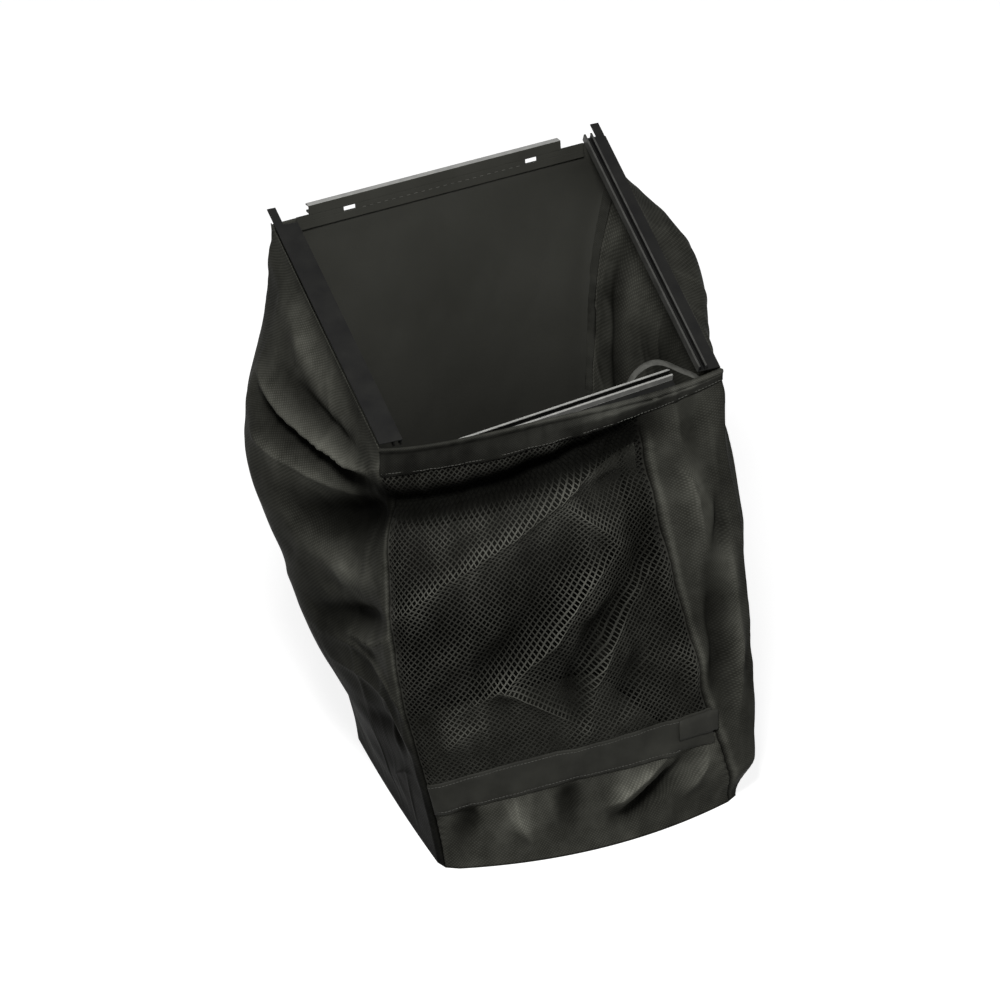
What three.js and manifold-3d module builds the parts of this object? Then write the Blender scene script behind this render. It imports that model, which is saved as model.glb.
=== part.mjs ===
// Grass collection bag of a walk-behind lawn mower: sewn cloth panels, an open net at the front, and
// four plastic channels that clip the mouth to the mower's wire frame. Millimetres, +Z up.
// X runs across the bag, the net faces -Y, and the bag stands on its closed end with the mouth up.

import * as THREE from "three";
import { mergeVertices } from "three/addons/utils/BufferGeometryUtils.js";
import Module from "manifold-3d";

const wasm = await Module();
wasm.setup();

// Mouth: a slanted rectangle whose back edge is the higher one
const MOUTH_WIDTH = 443;
const MOUTH_DEPTH = 365;
const MOUTH_TILT = THREE.MathUtils.degToRad(18.6);
const MOUTH_HEIGHT = 636;
const MOUTH_WARP = 20; // the back right corner stands this much higher
const MOUTH_SKEW = 4; // the back edge lies this much further right

// Closed end: where its corners lie beside the middle of the mouth
const BASE_FRONT = 254;
const BASE_BACK = 58;
const BASE_FRONT_LEFT = 176;
const BASE_FRONT_RIGHT = 222;
const BASE_BACK_LEFT = 166;
const BASE_BACK_RIGHT = 165;
const BASE_FRONT_SKEW = 4; // the front right corner lies this much further forward, the left one less
const BASE_BOW = [34, 8, 6, 4]; // how far the front, right, back and left edges bow out

// Cloth
const CLOTH = 2;
const HEM_OUTSIDE = 1.6;
const HEM_INSIDE = 0.6;
const BAND_OUTSIDE = 1.4;
const TAPE = 1.5;
const TAPE_REACH = 0.05; // share of a side that the tape covers on each side of a seam
const BASE_TAPE_HEIGHT = 18;
const SEAM_GAP = 0.3;
const STRIP_END_GAP = 0.9; // hem and band are thicker than the panels, so they stop shorter of the seams
const HEM_HEIGHT = 37;
const HEM_SAG = 14;
const BAND_HEIGHT = 44;
const LOWER_PANEL_HEIGHT = 87;

// The seam between the net and the right side starts well inside the corner and ends close to it
const NET_WIDTH_AT_MOUTH = 0.755;
const NET_WIDTH_GAIN = 0.2;
const CORNER_SOFTNESS = 0.05;
const SHARP_CORNER_END = 0.2; // the corners soften from the mouth down to this level
const HELD_AT_MOUTH = 0.06; // the channels and the flat end hold the cloth over these levels
const HELD_AT_BASE = 0.1;
const SAG_END = 0.3;

// Net openings
const NET_COLUMNS = 11;
const NET_ROWS = 10;
const NET_HOLE = 11;
const NET_FOLD_END = 0.26; // the rows are closer together above this level

// Channel: a flat flange for sewing, and a groove whose lips hold the wire
const WIRE_GROOVE = 7.5;
const GROOVE_DEPTH = 9;
const CHANNEL_WALL = 1.8;
const GROOVE_LIP = 0.8;
const FLANGE = 18;
const TONGUE_LENGTH = 20;
const TONGUE_WIDTH = 11;
const SIDE_CHANNEL_BACK_GAP = 9; // the left channel's groove hangs down, so it stops short of the back
const SIDE_CHANNEL_LIFT = 1.4; // clears the edge of the leaning back panel
const FRONT_CHANNEL_DROP_LEFT = 56;
const FRONT_CHANNEL_DROP_RIGHT = 21.5;
const FRONT_CHANNEL_GAP_LEFT = 34.5; // from its ends to the corners of the mouth
const FRONT_CHANNEL_GAP_RIGHT = 53.5;
const FRONT_CHANNEL_CLEARANCE = 2.9; // the hem sags inward a little along the channel
const BACK_GROOVE_GAP_LEFT = 48.5;
const BACK_GROOVE_GAP_RIGHT = 61.5;
const SLOT_WIDTH = 16;
const SLOT_HEIGHT = 9;
const SLOT_SPREAD = 120; // from the middle of the back edge to each slot
const SLOT_DROP = 5; // below the edge of the mouth
const CUT_DEPTH = 40; // cutters reach this far through a leaning wall
const LOOP_WIDTH = 10;
const LOOP_THICKNESS = 1.6;
// The loop's path from the end of the front channel's groove: across, back, up
const LOOP_PATH = [
  [-52, 17, -8],
  [-47, 17, 6],
  [-34, 16, 17],
  [-19, 14, 22],
  [-4, 9, 18],
  [11, -2, 9],
  [24, -9, 5],
  [34, -11, -5],
];

// Where the soft walls billow or draw in: side position, level, push, reach around, reach along
const PUFFS = [
  { around: 3.3, level: 0.31, push: 88, reachAround: 0.36, reachDown: 0.21 },
  { around: 3.37, level: 0.62, push: 58, reachAround: 0.37, reachDown: 0.215 },
  { around: 1.65, level: 0.09, push: 65, reachAround: 0.355, reachDown: 0.075 },
  { around: 1.27, level: 0.33, push: 16, reachAround: 0.365, reachDown: 0.176 },
  { around: 1.06, level: 0.79, push: 26, reachAround: 0.255, reachDown: 0.42 },
  { around: 0.0, level: 0.45, push: 30, reachAround: 0.25, reachDown: 0.3 },
  { around: 0.5, level: 0.55, push: 30, reachAround: 0.45, reachDown: 0.3 },
  { around: 2.5, level: 0.5, push: 15, reachAround: 0.45, reachDown: 0.3 },
  { around: 2.0, level: 0.42, push: -27, reachAround: 0.22, reachDown: 0.28 },
];

// Soft folds: a ridge or a valley from one place on the wall to another
const FOLDS = [
  { from: [3.28, 0.3], to: [3.88, 0.14], push: 14, reach: 20 },
  { from: [3.36, 0.38], to: [3.9, 0.22], push: -17, reach: 24 },
  { from: [3.52, 0.43], to: [3.89, 0.42], push: 9, reach: 20 },
  { from: [3.55, 0.55], to: [3.83, 0.46], push: -8, reach: 18 },
  { from: [0.02, 0.37], to: [0.68, 0.09], push: 14, reach: 20 },
  { from: [0.02, 0.13], to: [0.67, 0.09], push: -16, reach: 20 },
  { from: [0.54, 0.36], to: [0.21, 0.61], push: 10, reach: 18 },
  { from: [0.73, 0.3], to: [0.47, 0.58], push: -9, reach: 20 },
  { from: [0.17, 0.61], to: [0.46, 0.39], push: -8, reach: 18 },
  { from: [0.75, 0.47], to: [0.54, 0.7], push: 8, reach: 18 },
  { from: [0.77, 0.82], to: [0.62, 0.9], push: -8, reach: 16 },
  { from: [0.94, 0.39], to: [0.93, 0.84], push: 7, reach: 16 },
  { from: [0.89, 0.45], to: [0.9, 0.75], push: -8, reach: 18 },
  { from: [1.15, 0.12], to: [1.1, 0.4], push: 9, reach: 20 },
  { from: [1.5, 0.15], to: [1.55, 0.8], push: -10, reach: 28 },
];

const smoothstep = THREE.MathUtils.smoothstep;
const lerp = THREE.MathUtils.lerp;

// The four corners of the mouth, in order: front left, front right, back right, back left
const halfWidth = MOUTH_WIDTH / 2;
const halfRun = (MOUTH_DEPTH / 2) * Math.cos(MOUTH_TILT);
const halfRise = (MOUTH_DEPTH / 2) * Math.sin(MOUTH_TILT);
const mouthCorners = [
  new THREE.Vector3(-halfWidth, -halfRun, MOUTH_HEIGHT - halfRise),
  new THREE.Vector3(halfWidth, -halfRun, MOUTH_HEIGHT - halfRise),
  new THREE.Vector3(MOUTH_SKEW + halfWidth, halfRun, MOUTH_HEIGHT + halfRise + MOUTH_WARP),
  new THREE.Vector3(MOUTH_SKEW - halfWidth, halfRun, MOUTH_HEIGHT + halfRise),
];
const baseCorners = [
  new THREE.Vector3(-BASE_FRONT_LEFT, -BASE_FRONT + BASE_FRONT_SKEW, 0),
  new THREE.Vector3(BASE_FRONT_RIGHT, -BASE_FRONT - BASE_FRONT_SKEW, 0),
  new THREE.Vector3(BASE_BACK_RIGHT, BASE_BACK, 0),
  new THREE.Vector3(-BASE_BACK_LEFT, BASE_BACK, 0),
];
const frontHeight = mouthCorners[0].z;

// A point on the straight-sided bag. Around counts the sides from the front left corner, and level
// runs from 0 at the mouth to 1 at the closed end.
function straightPoint(around, level) {
  const turn = ((around % 4) + 4) % 4;
  const side = Math.min(Math.floor(turn), 3);
  const share = turn - side;
  const next = (side + 1) % 4;
  const start = mouthCorners[side].clone().lerp(baseCorners[side], level);
  const end = mouthCorners[next].clone().lerp(baseCorners[next], level);
  const point = start.clone().lerp(end, share);
  const chord = end.clone().sub(start);
  const outward = new THREE.Vector3(chord.y, -chord.x, 0).normalize();
  return point.addScaledVector(outward, BASE_BOW[side] * level ** 2 * 4 * share * (1 - share));
}

// Sides are counted so that the seams lie at whole numbers, also the one that wanders at the front right
function seamShare(level) {
  return NET_WIDTH_AT_MOUTH + NET_WIDTH_GAIN * level ** 2.8;
}

function ringPlace(around, level) {
  const turn = ((around % 4) + 4) % 4;
  const seam = seamShare(level);
  if (turn < 1) return turn * seam;
  if (turn < 2) return seam + (turn - 1) * (2 - seam);
  return turn;
}

// The shorter way round from one side position to another
function apart(place, other) {
  return ((((place - other + 2) % 4) + 4) % 4) - 2;
}

function foldPush(place, level) {
  const sideLength = MOUTH_WIDTH;
  let total = 0;
  for (const { from, to, push, reach } of FOLDS) {
    const along = new THREE.Vector2((to[0] - from[0]) * sideLength, (to[1] - from[1]) * frontHeight);
    const here = new THREE.Vector2(apart(place, from[0]) * sideLength, (level - from[1]) * frontHeight);
    const share = THREE.MathUtils.clamp(here.dot(along) / along.lengthSq(), 0, 1);
    const off = here.distanceTo(along.clone().multiplyScalar(share));
    total += push * Math.exp(-((off / reach) ** 2)) * (0.35 + 0.65 * Math.sin(Math.PI * share));
  }
  return total;
}

// The corners are sharp at the channels and soft below them
function wallPoint(around, level) {
  const place = ringPlace(around, level);
  const softness = CORNER_SOFTNESS * smoothstep(level, 0, SHARP_CORNER_END);
  const point = straightPoint(place, level).multiplyScalar(2);
  point.add(straightPoint(place - softness, level));
  point.add(straightPoint(place + softness, level)).divideScalar(4);
  const middle = new THREE.Vector3();
  for (const side of [0.5, 1.5, 2.5, 3.5]) middle.add(straightPoint(side, level));
  const outward = point.clone().sub(middle.divideScalar(4)).setZ(0).normalize();
  let push = 0;
  for (const puff of PUFFS) {
    const near =
      (apart(place, puff.around) / puff.reachAround) ** 2 + ((level - puff.level) / puff.reachDown) ** 2;
    push += puff.push * Math.exp(-near);
  }
  push += foldPush(place, level);
  const free = smoothstep(level, 0, HELD_AT_MOUTH) * smoothstep(1 - level, 0, HELD_AT_BASE);
  point.addScaledVector(outward, push * free);
  if (place < 1) point.z -= HEM_SAG * (1 - (2 * place - 1) ** 4) * (1 - smoothstep(level, 0, SAG_END));
  return point;
}

// At a seam both neighbours use the same normal, so their edges are mitred
function wallNormal(around, level) {
  const step = 0.004;
  const seam = Math.round(around);
  const place = Math.abs(around - seam) < 2 * step ? seam : around;
  const low = Math.max(level - step, 0);
  const high = Math.min(level + step, 1);
  const across = wallPoint(place + step, level).sub(wallPoint(place - step, level));
  const upward = wallPoint(around, low).sub(wallPoint(around, high));
  return across.cross(upward).normalize();
}

// Levels and side stations that every layer of cloth shares, so that layers lie parallel
const netTop = HEM_HEIGHT / frontHeight;
const netEnd = 1 - (LOWER_PANEL_HEIGHT + BAND_HEIGHT) / frontHeight;
const bandEnd = 1 - LOWER_PANEL_HEIGHT / frontHeight;
const wallEnd = 1 - (CLOTH + 2 * SEAM_GAP) / frontHeight;
const tapeTop = 1 - BASE_TAPE_HEIGHT / frontHeight;
const tapeEnd = 1 - (CLOTH + TAPE + 2 * SEAM_GAP) / frontHeight;
const levelGap = SEAM_GAP / frontHeight;

function steps(from, to, count) {
  return Array.from({ length: count }, (_, i) => lerp(from, to, (i + 1) / count));
}

const hemLevels = [0, ...steps(0, netTop, 2)];
const netLevels = [netTop, ...steps(netTop, NET_FOLD_END, 5), ...steps(NET_FOLD_END, netEnd, 7)];
const bandLevels = [netEnd, ...steps(netEnd, bandEnd, 1)];
const lowerLevels = [bandEnd, ...steps(bandEnd, tapeTop, 3), wallEnd];
const allLevels = [...hemLevels, ...netLevels.slice(1), ...bandLevels.slice(1), ...lowerLevels.slice(1)];
const sideShares = [0, TAPE_REACH, ...steps(TAPE_REACH, 1 - TAPE_REACH, 10), 1];

function sideStations(side) {
  return sideShares.map((share) => side + share);
}

function geometryOf(solid) {
  const { numProp, numVert, vertProperties, triVerts } = solid.getMesh();
  const places = new Float32Array(numVert * 3);
  for (let i = 0; i < numVert; i++) {
    places.set(vertProperties.subarray(i * numProp, i * numProp + 3), i * 3);
  }
  const geometry = new THREE.BufferGeometry();
  geometry.setAttribute("position", new THREE.BufferAttribute(places, 3));
  geometry.setIndex(new THREE.BufferAttribute(triVerts, 1));
  geometry.computeVertexNormals();
  return geometry;
}

function solidOf(geometry) {
  const bare = geometry.clone();
  bare.deleteAttribute("normal");
  bare.deleteAttribute("uv");
  const merged = mergeVertices(bare, 1e-4);
  return new wasm.Manifold(
    new wasm.Mesh({
      numProp: 3,
      vertProperties: merged.attributes.position.array,
      triVerts: new Uint32Array(merged.index.array),
    }),
  );
}

// A layer of cloth on the wall, between two offsets along the wall's normal. Both faces have the same
// triangles, so layers on the same stations and levels never cross.
function clothLayer(stations, levels, inner, outer) {
  const columns = stations.length - 1;
  const rows = levels.length - 1;
  const face = new THREE.PlaneGeometry(1, 1, columns, rows);
  const count = face.attributes.position.count;
  const places = new Float32Array(2 * count * 3);
  levels.forEach((level, row) =>
    stations.forEach((around, column) => {
      const i = row * stations.length + column;
      const normal = wallNormal(around, level);
      wallPoint(around, level).addScaledVector(normal, outer).toArray(places, i * 3);
      wallPoint(around, level).addScaledVector(normal, inner).toArray(places, (i + count) * 3);
    }),
  );
  const index = [...face.index.array];
  for (let i = 0; i < face.index.count; i += 3) {
    const [a, b, c] = face.index.array.subarray(i, i + 3);
    index.push(a + count, c + count, b + count);
  }
  const top = Array.from({ length: columns }, (_, i) => i);
  const right = Array.from({ length: rows }, (_, i) => (i + 1) * stations.length - 1);
  const bottom = top.map((i) => count - 1 - i);
  const left = right.map((i) => count - 1 - i);
  const rim = [...top, ...right, ...bottom, ...left];
  rim.forEach((a, i) => {
    const b = rim[(i + 1) % rim.length];
    index.push(a, b, b + count, a, b + count, a + count);
  });
  const geometry = new THREE.BufferGeometry();
  geometry.setAttribute("position", new THREE.BufferAttribute(places, 3));
  geometry.setIndex(index);
  geometry.computeVertexNormals();
  return geometry;
}

// Edge stations and levels draw in a little, so that neighbouring panels keep the seam gap
function drawnIn(values, amount) {
  const drawn = [...values];
  drawn[0] += amount;
  drawn[drawn.length - 1] -= amount;
  return drawn;
}

function panel(side, levels, inner = -CLOTH, outer = 0, gap = SEAM_GAP) {
  const stations = drawnIn(sideStations(side), gap / MOUTH_DEPTH);
  return clothLayer(stations, levels, inner, outer);
}

// Materials
const cloth = new THREE.MeshStandardMaterial({ color: 0x2b2b28, roughness: 0.75, metalness: 0 });
const vinyl = new THREE.MeshStandardMaterial({ color: 0x33332f, roughness: 0.6, metalness: 0 });
const net = new THREE.MeshStandardMaterial({ color: 0x232320, roughness: 0.7, metalness: 0 });
const webbing = new THREE.MeshStandardMaterial({ color: 0x2a2a27, roughness: 0.85, metalness: 0 });
const plastic = new THREE.MeshStandardMaterial({ color: 0x1a1a1b, roughness: 0.35, metalness: 0 });

const bag = new THREE.Group();

function add(name, geometry, material) {
  const mesh = new THREE.Mesh(geometry, material);
  mesh.name = name;
  bag.add(mesh);
  return mesh;
}

// Side panels, closely woven cloth
add("left_side_panel", panel(3, allLevels), cloth);
add("right_side_panel", panel(1, allLevels), cloth);

// Slots for the frame's hooks, through the back panel and the channel sewn to it
const backEdge = mouthCorners[2].clone().sub(mouthCorners[3]);
const backMiddle = mouthCorners[2].clone().add(mouthCorners[3]).divideScalar(2);
const backSlope = Math.atan2(backEdge.z, backEdge.x);

function slotCutter(across) {
  const box = new THREE.BoxGeometry(SLOT_WIDTH, CUT_DEPTH, SLOT_HEIGHT);
  box.rotateY(-backSlope);
  const drop = SLOT_DROP - across * Math.tan(backSlope);
  box.translate(backMiddle.x + across, backMiddle.y, backMiddle.z - drop);
  return solidOf(box);
}

function withSlots(solid) {
  return solid.subtract(slotCutter(-SLOT_SPREAD)).subtract(slotCutter(SLOT_SPREAD));
}

// Back panel, smooth coated cloth
add("back_panel", geometryOf(withSlots(solidOf(panel(2, allLevels)))), vinyl);

// Front: hem, net, band and lower panel, one below the other
add("front_hem", panel(0, hemLevels, -CLOTH - HEM_INSIDE, HEM_OUTSIDE, STRIP_END_GAP), webbing);

function netPanel() {
  let solid = solidOf(panel(0, drawnIn(netLevels, levelGap)));
  for (let row = 0; row < NET_ROWS; row++) {
    const level = lerp(netTop, netEnd, (row + 0.5) / NET_ROWS);
    for (let column = 0; column < NET_COLUMNS; column++) {
      const shift = row % 2 ? 0.75 : 0.25;
      const around = (column + shift + 0.25) / (NET_COLUMNS + 0.5);
      const cutter = new THREE.CylinderGeometry(NET_HOLE, NET_HOLE, CUT_DEPTH, 4);
      const normal = wallNormal(around, level);
      cutter.applyQuaternion(new THREE.Quaternion().setFromUnitVectors(new THREE.Vector3(0, 1, 0), normal));
      const point = wallPoint(around, level);
      cutter.translate(point.x, point.y, point.z);
      solid = solid.subtract(solidOf(cutter));
    }
  }
  return geometryOf(solid);
}
add("front_mesh_panel", netPanel(), net);
const bandEdge = drawnIn(bandLevels, levelGap);
add("front_waist_band", panel(0, bandEdge, -CLOTH, BAND_OUTSIDE, STRIP_END_GAP), webbing);
const lowerEdge = [lowerLevels[0] + levelGap, ...lowerLevels.slice(1)];
add("front_lower_panel", panel(0, lowerEdge), cloth);

// Closed end, a flat panel under the walls
function basePanel() {
  const cells = 12;
  const geometry = new THREE.BoxGeometry(1, 1, 1, cells, cells, 1);
  const places = geometry.attributes.position;
  const front = (share) => wallPoint(share, 1);
  const right = (share) => wallPoint(1 + share, 1);
  const back = (share) => wallPoint(3 - share, 1);
  const left = (share) => wallPoint(4 - share, 1);
  for (let i = 0; i < places.count; i++) {
    const x = places.getX(i) + 0.5;
    const y = places.getY(i) + 0.5;
    const point = front(x).lerp(back(x), y).add(left(y).lerp(right(y), x));
    point.sub(front(0).lerp(front(1), x).lerp(back(0).lerp(back(1), x), y));
    places.setXYZ(i, point.x, point.y, places.getZ(i) > 0 ? CLOTH : 0);
  }
  return geometry;
}
add("bottom_panel", basePanel(), cloth);

// Binding tapes over the raw edges, inside the bag
const tapeLevels = allLevels.slice(hemLevels.length, -2);
const hemInside = CLOTH + HEM_INSIDE + SEAM_GAP;
const tapeOuter = -hemInside;
const tapeInner = tapeOuter - TAPE;
const seamNames = ["front_left", "front_right", "back_right", "back_left"];
seamNames.forEach((name, side) => {
  const stations = [side - TAPE_REACH, side, side + TAPE_REACH];
  add(`${name}_seam_tape`, clothLayer(stations, tapeLevels, tapeInner, tapeOuter), webbing);
});
const ringStations = [2, 3, 4, 5].flatMap((side) => sideStations(side).slice(0, -1));
const ringEnd = 6 - 2 * SEAM_GAP / MOUTH_DEPTH;
const baseTape = clothLayer([...ringStations, ringEnd], [tapeTop, tapeEnd], tapeInner, tapeOuter);
add("base_seam_tape", baseTape, webbing);

// Channels
const grooveWidth = WIRE_GROOVE + 2 * CHANNEL_WALL;
const channelWidth = FLANGE + grooveWidth;
const channelHeight = GROOVE_DEPTH + CHANNEL_WALL;

// Flange along the first axis, groove opening along the second
function grooveShape(start) {
  const end = channelWidth;
  const innerStart = FLANGE + CHANNEL_WALL;
  const innerEnd = end - CHANNEL_WALL;
  const lipFoot = channelHeight - 2 * GROOVE_LIP;
  const shape = new THREE.Shape();
  shape.moveTo(start, 0);
  shape.lineTo(end, 0);
  shape.lineTo(end, channelHeight);
  shape.lineTo(innerEnd - GROOVE_LIP, channelHeight);
  shape.lineTo(innerEnd - GROOVE_LIP, lipFoot);
  shape.lineTo(innerEnd, lipFoot - GROOVE_LIP);
  shape.lineTo(innerEnd, CHANNEL_WALL);
  shape.lineTo(innerStart, CHANNEL_WALL);
  shape.lineTo(innerStart, lipFoot - GROOVE_LIP);
  shape.lineTo(innerStart + GROOVE_LIP, lipFoot);
  shape.lineTo(innerStart + GROOVE_LIP, channelHeight);
  shape.lineTo(FLANGE, channelHeight);
  if (start < FLANGE) {
    shape.lineTo(FLANGE, CHANNEL_WALL);
    shape.lineTo(start, CHANNEL_WALL);
  }
  return shape;
}

function flatShape(width) {
  const shape = new THREE.Shape();
  shape.moveTo(0, 0);
  shape.lineTo(width, 0);
  shape.lineTo(width, CHANNEL_WALL);
  shape.lineTo(0, CHANNEL_WALL);
  return shape;
}

function prism(shape, start, length) {
  const geometry = new THREE.ExtrudeGeometry(shape, { depth: length, bevelEnabled: false });
  geometry.translate(0, 0, start);
  return solidOf(geometry);
}

// Lays a solid along its length axis, with its faces outward also where the axes are left-handed
function laid(solid, origin, flangeAxis, grooveAxis, lengthAxis) {
  const geometry = geometryOf(solid);
  const matrix = new THREE.Matrix4().makeBasis(flangeAxis, grooveAxis, lengthAxis).setPosition(origin);
  geometry.applyMatrix4(matrix);
  if (matrix.determinant() < 0) {
    const index = geometry.index.array;
    for (let i = 0; i < index.length; i += 3) {
      [index[i + 1], index[i + 2]] = [index[i + 2], index[i + 1]];
    }
  }
  geometry.computeVertexNormals();
  return geometry;
}

// A side channel lies flat in the plane of the mouth and ends in a tongue past the back edge
function sideChannel(front, back, side, opensUp, frontGap) {
  const lengthAxis = back.clone().sub(front).normalize();
  const up = new THREE.Vector3(1, 0, 0).cross(lengthAxis).normalize();
  const inboard = side.clone().projectOnPlane(lengthAxis).normalize();
  const grooveAxis = opensUp ? up : up.clone().negate();
  const length = back.distanceTo(front);
  const mainEnd = opensUp ? length : length - SIDE_CHANNEL_BACK_GAP;
  const main = prism(grooveShape(0), frontGap, mainEnd - frontGap);
  const tongue = prism(flatShape(TONGUE_WIDTH), mainEnd - 1, length + TONGUE_LENGTH - mainEnd + 1);
  const origin = front.clone().addScaledVector(inboard, CLOTH + SEAM_GAP);
  origin.addScaledVector(up, opensUp ? SIDE_CHANNEL_LIFT : SIDE_CHANNEL_LIFT + CHANNEL_WALL);
  return laid(main.add(tongue), origin, inboard, grooveAxis, lengthAxis);
}
const inward = new THREE.Vector3(1, 0, 0);
const leftChannel = sideChannel(mouthCorners[0], mouthCorners[3], inward, false, hemInside);
const rightChannel = sideChannel(mouthCorners[1], mouthCorners[2], inward.clone().negate(), true, 0);
add("left_channel", leftChannel, plastic);
add("right_channel", rightChannel, plastic);

// The front channel is sewn inside the hem, lower at its left end
const frontChannelLeft = FRONT_CHANNEL_GAP_LEFT - halfWidth;
const frontChannelRight = halfWidth - FRONT_CHANNEL_GAP_RIGHT;
const backward = new THREE.Vector3(0, Math.cos(MOUTH_TILT), Math.sin(MOUTH_TILT));

function frontChannel() {
  const inset = new THREE.Vector3(0, hemInside + FRONT_CHANNEL_CLEARANCE, 0);
  const flangeEdge = (x, drop) => {
    const point = straightPoint((x + halfWidth) / MOUTH_WIDTH, drop / frontHeight);
    return point.setX(x).add(inset);
  };
  const left = flangeEdge(frontChannelLeft, FRONT_CHANNEL_DROP_LEFT);
  const right = flangeEdge(frontChannelRight, FRONT_CHANNEL_DROP_RIGHT);
  const lengthAxis = right.clone().sub(left).normalize();
  const grooveAxis = lengthAxis.clone().cross(backward).normalize();
  const flangeAxis = grooveAxis.clone().cross(lengthAxis).normalize();
  const solid = prism(grooveShape(0), 0, right.distanceTo(left));
  return laid(solid, left, flangeAxis, grooveAxis, lengthAxis);
}
add("front_channel", frontChannel(), plastic);

// The back channel stands up from the back panel, and its groove stops short of both ends
function backChannel() {
  const reach = halfWidth - CLOTH - 2 * SEAM_GAP - channelWidth;
  const lengthAxis = backEdge.clone().normalize();
  const lower = straightPoint(2.5, FLANGE / frontHeight);
  const flangeAxis = backMiddle.clone().sub(lower).normalize();
  const grooveAxis = flangeAxis.clone().cross(lengthAxis).normalize();
  const flange = prism(flatShape(FLANGE), -reach, 2 * reach);
  const grooveStart = BACK_GROOVE_GAP_LEFT - halfWidth;
  const grooveEnd = halfWidth - BACK_GROOVE_GAP_RIGHT;
  const groove = prism(grooveShape(FLANGE - 1), grooveStart, grooveEnd - grooveStart);
  const origin = backMiddle.clone().addScaledVector(grooveAxis, -CLOTH - SEAM_GAP - CHANNEL_WALL);
  origin.addScaledVector(flangeAxis, -FLANGE);
  return laid(flange.add(groove), origin, flangeAxis, grooveAxis, lengthAxis);
}
add("back_channel", geometryOf(withSlots(solidOf(backChannel()))), plastic);

// A strip of binding loops over the right end of the front channel
function channelLoop() {
  const share = (frontChannelRight + halfWidth) / MOUTH_WIDTH;
  const end = straightPoint(share, FRONT_CHANNEL_DROP_RIGHT / frontHeight);
  end.addScaledVector(backward, FLANGE + grooveWidth / 2);
  const places = LOOP_PATH.map((step) => end.clone().add(new THREE.Vector3(...step)));
  const path = new THREE.CatmullRomCurve3(places);
  const shape = new THREE.Shape();
  shape.moveTo(-LOOP_WIDTH / 2, -LOOP_THICKNESS / 2);
  shape.lineTo(LOOP_WIDTH / 2, -LOOP_THICKNESS / 2);
  shape.lineTo(LOOP_WIDTH / 2, LOOP_THICKNESS / 2);
  shape.lineTo(-LOOP_WIDTH / 2, LOOP_THICKNESS / 2);
  return new THREE.ExtrudeGeometry(shape, { steps: 18, bevelEnabled: false, extrudePath: path });
}
add("channel_end_loop", channelLoop(), webbing);

// The origin is on the ground below the middle of the whole bag
const whole = new THREE.Box3().setFromObject(bag);
const middle = whole.getCenter(new THREE.Vector3());
bag.position.set(-middle.x, -middle.y, -whole.min.z);

const group = new THREE.Group();
group.add(bag);
export default group;
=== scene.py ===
import math

import bmesh
import bpy
import numpy as np
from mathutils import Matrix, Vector


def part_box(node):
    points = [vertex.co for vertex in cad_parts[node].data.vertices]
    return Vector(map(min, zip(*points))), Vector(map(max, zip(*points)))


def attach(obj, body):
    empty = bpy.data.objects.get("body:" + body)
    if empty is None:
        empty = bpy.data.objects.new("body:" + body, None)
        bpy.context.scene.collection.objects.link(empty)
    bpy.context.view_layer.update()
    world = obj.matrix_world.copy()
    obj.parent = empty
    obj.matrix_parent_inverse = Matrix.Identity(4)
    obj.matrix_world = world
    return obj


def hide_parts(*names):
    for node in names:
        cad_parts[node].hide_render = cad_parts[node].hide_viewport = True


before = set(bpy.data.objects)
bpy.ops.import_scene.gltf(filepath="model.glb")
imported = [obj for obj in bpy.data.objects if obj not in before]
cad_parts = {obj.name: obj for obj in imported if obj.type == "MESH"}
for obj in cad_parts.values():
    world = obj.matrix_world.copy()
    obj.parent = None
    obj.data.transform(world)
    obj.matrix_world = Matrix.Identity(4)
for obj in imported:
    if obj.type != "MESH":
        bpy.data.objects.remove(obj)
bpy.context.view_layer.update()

# Left side panel
# One piece of closely woven nylon, cut wider at the mouth than at the closed end and sewn in all round.
# It bulges out below the mouth and drops over itself in a long crest. The other panels share its form.
MOUTH_WIDTH = 0.443
MOUTH_DEPTH = 0.365
MOUTH_TILT = math.radians(18.6)
MOUTH_HEIGHT = 0.636
MOUTH_WARP = 0.020
MOUTH_SKEW = 0.004
MOUTH_RUN = MOUTH_DEPTH / 2 * math.cos(MOUTH_TILT)
MOUTH_RISE = MOUTH_DEPTH / 2 * math.sin(MOUTH_TILT)
FRONT_HEIGHT = MOUTH_HEIGHT - MOUTH_RISE
CORNER_SOFTNESS = 0.05
BAND_MIDDLE = 0.79  # the stiff waist band flattens the folds here
HEM_SAG = 0.014
SAG_END = 0.3  # the wall below the hem sags with it down to this level
NYLON = 0.0011  # thickness of the cloth
WALL_END = 1 - NYLON / FRONT_HEIGHT  # the walls end on the bottom panel

# Corners in order: front left, front right, back right, back left
mouth_corners = np.array(
    [
        (-MOUTH_WIDTH / 2, -MOUTH_RUN, FRONT_HEIGHT),
        (MOUTH_WIDTH / 2, -MOUTH_RUN, FRONT_HEIGHT),
        (MOUTH_SKEW + MOUTH_WIDTH / 2, MOUTH_RUN, MOUTH_HEIGHT + MOUTH_RISE + MOUTH_WARP),
        (MOUTH_SKEW - MOUTH_WIDTH / 2, MOUTH_RUN, MOUTH_HEIGHT + MOUTH_RISE),
    ]
)
base_corners = np.array([(-0.176, -0.250, 0), (0.222, -0.258, 0), (0.165, 0.058, 0), (-0.166, 0.058, 0)])
base_bow = np.array([0.034, 0.008, 0.006, 0.004])

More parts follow.
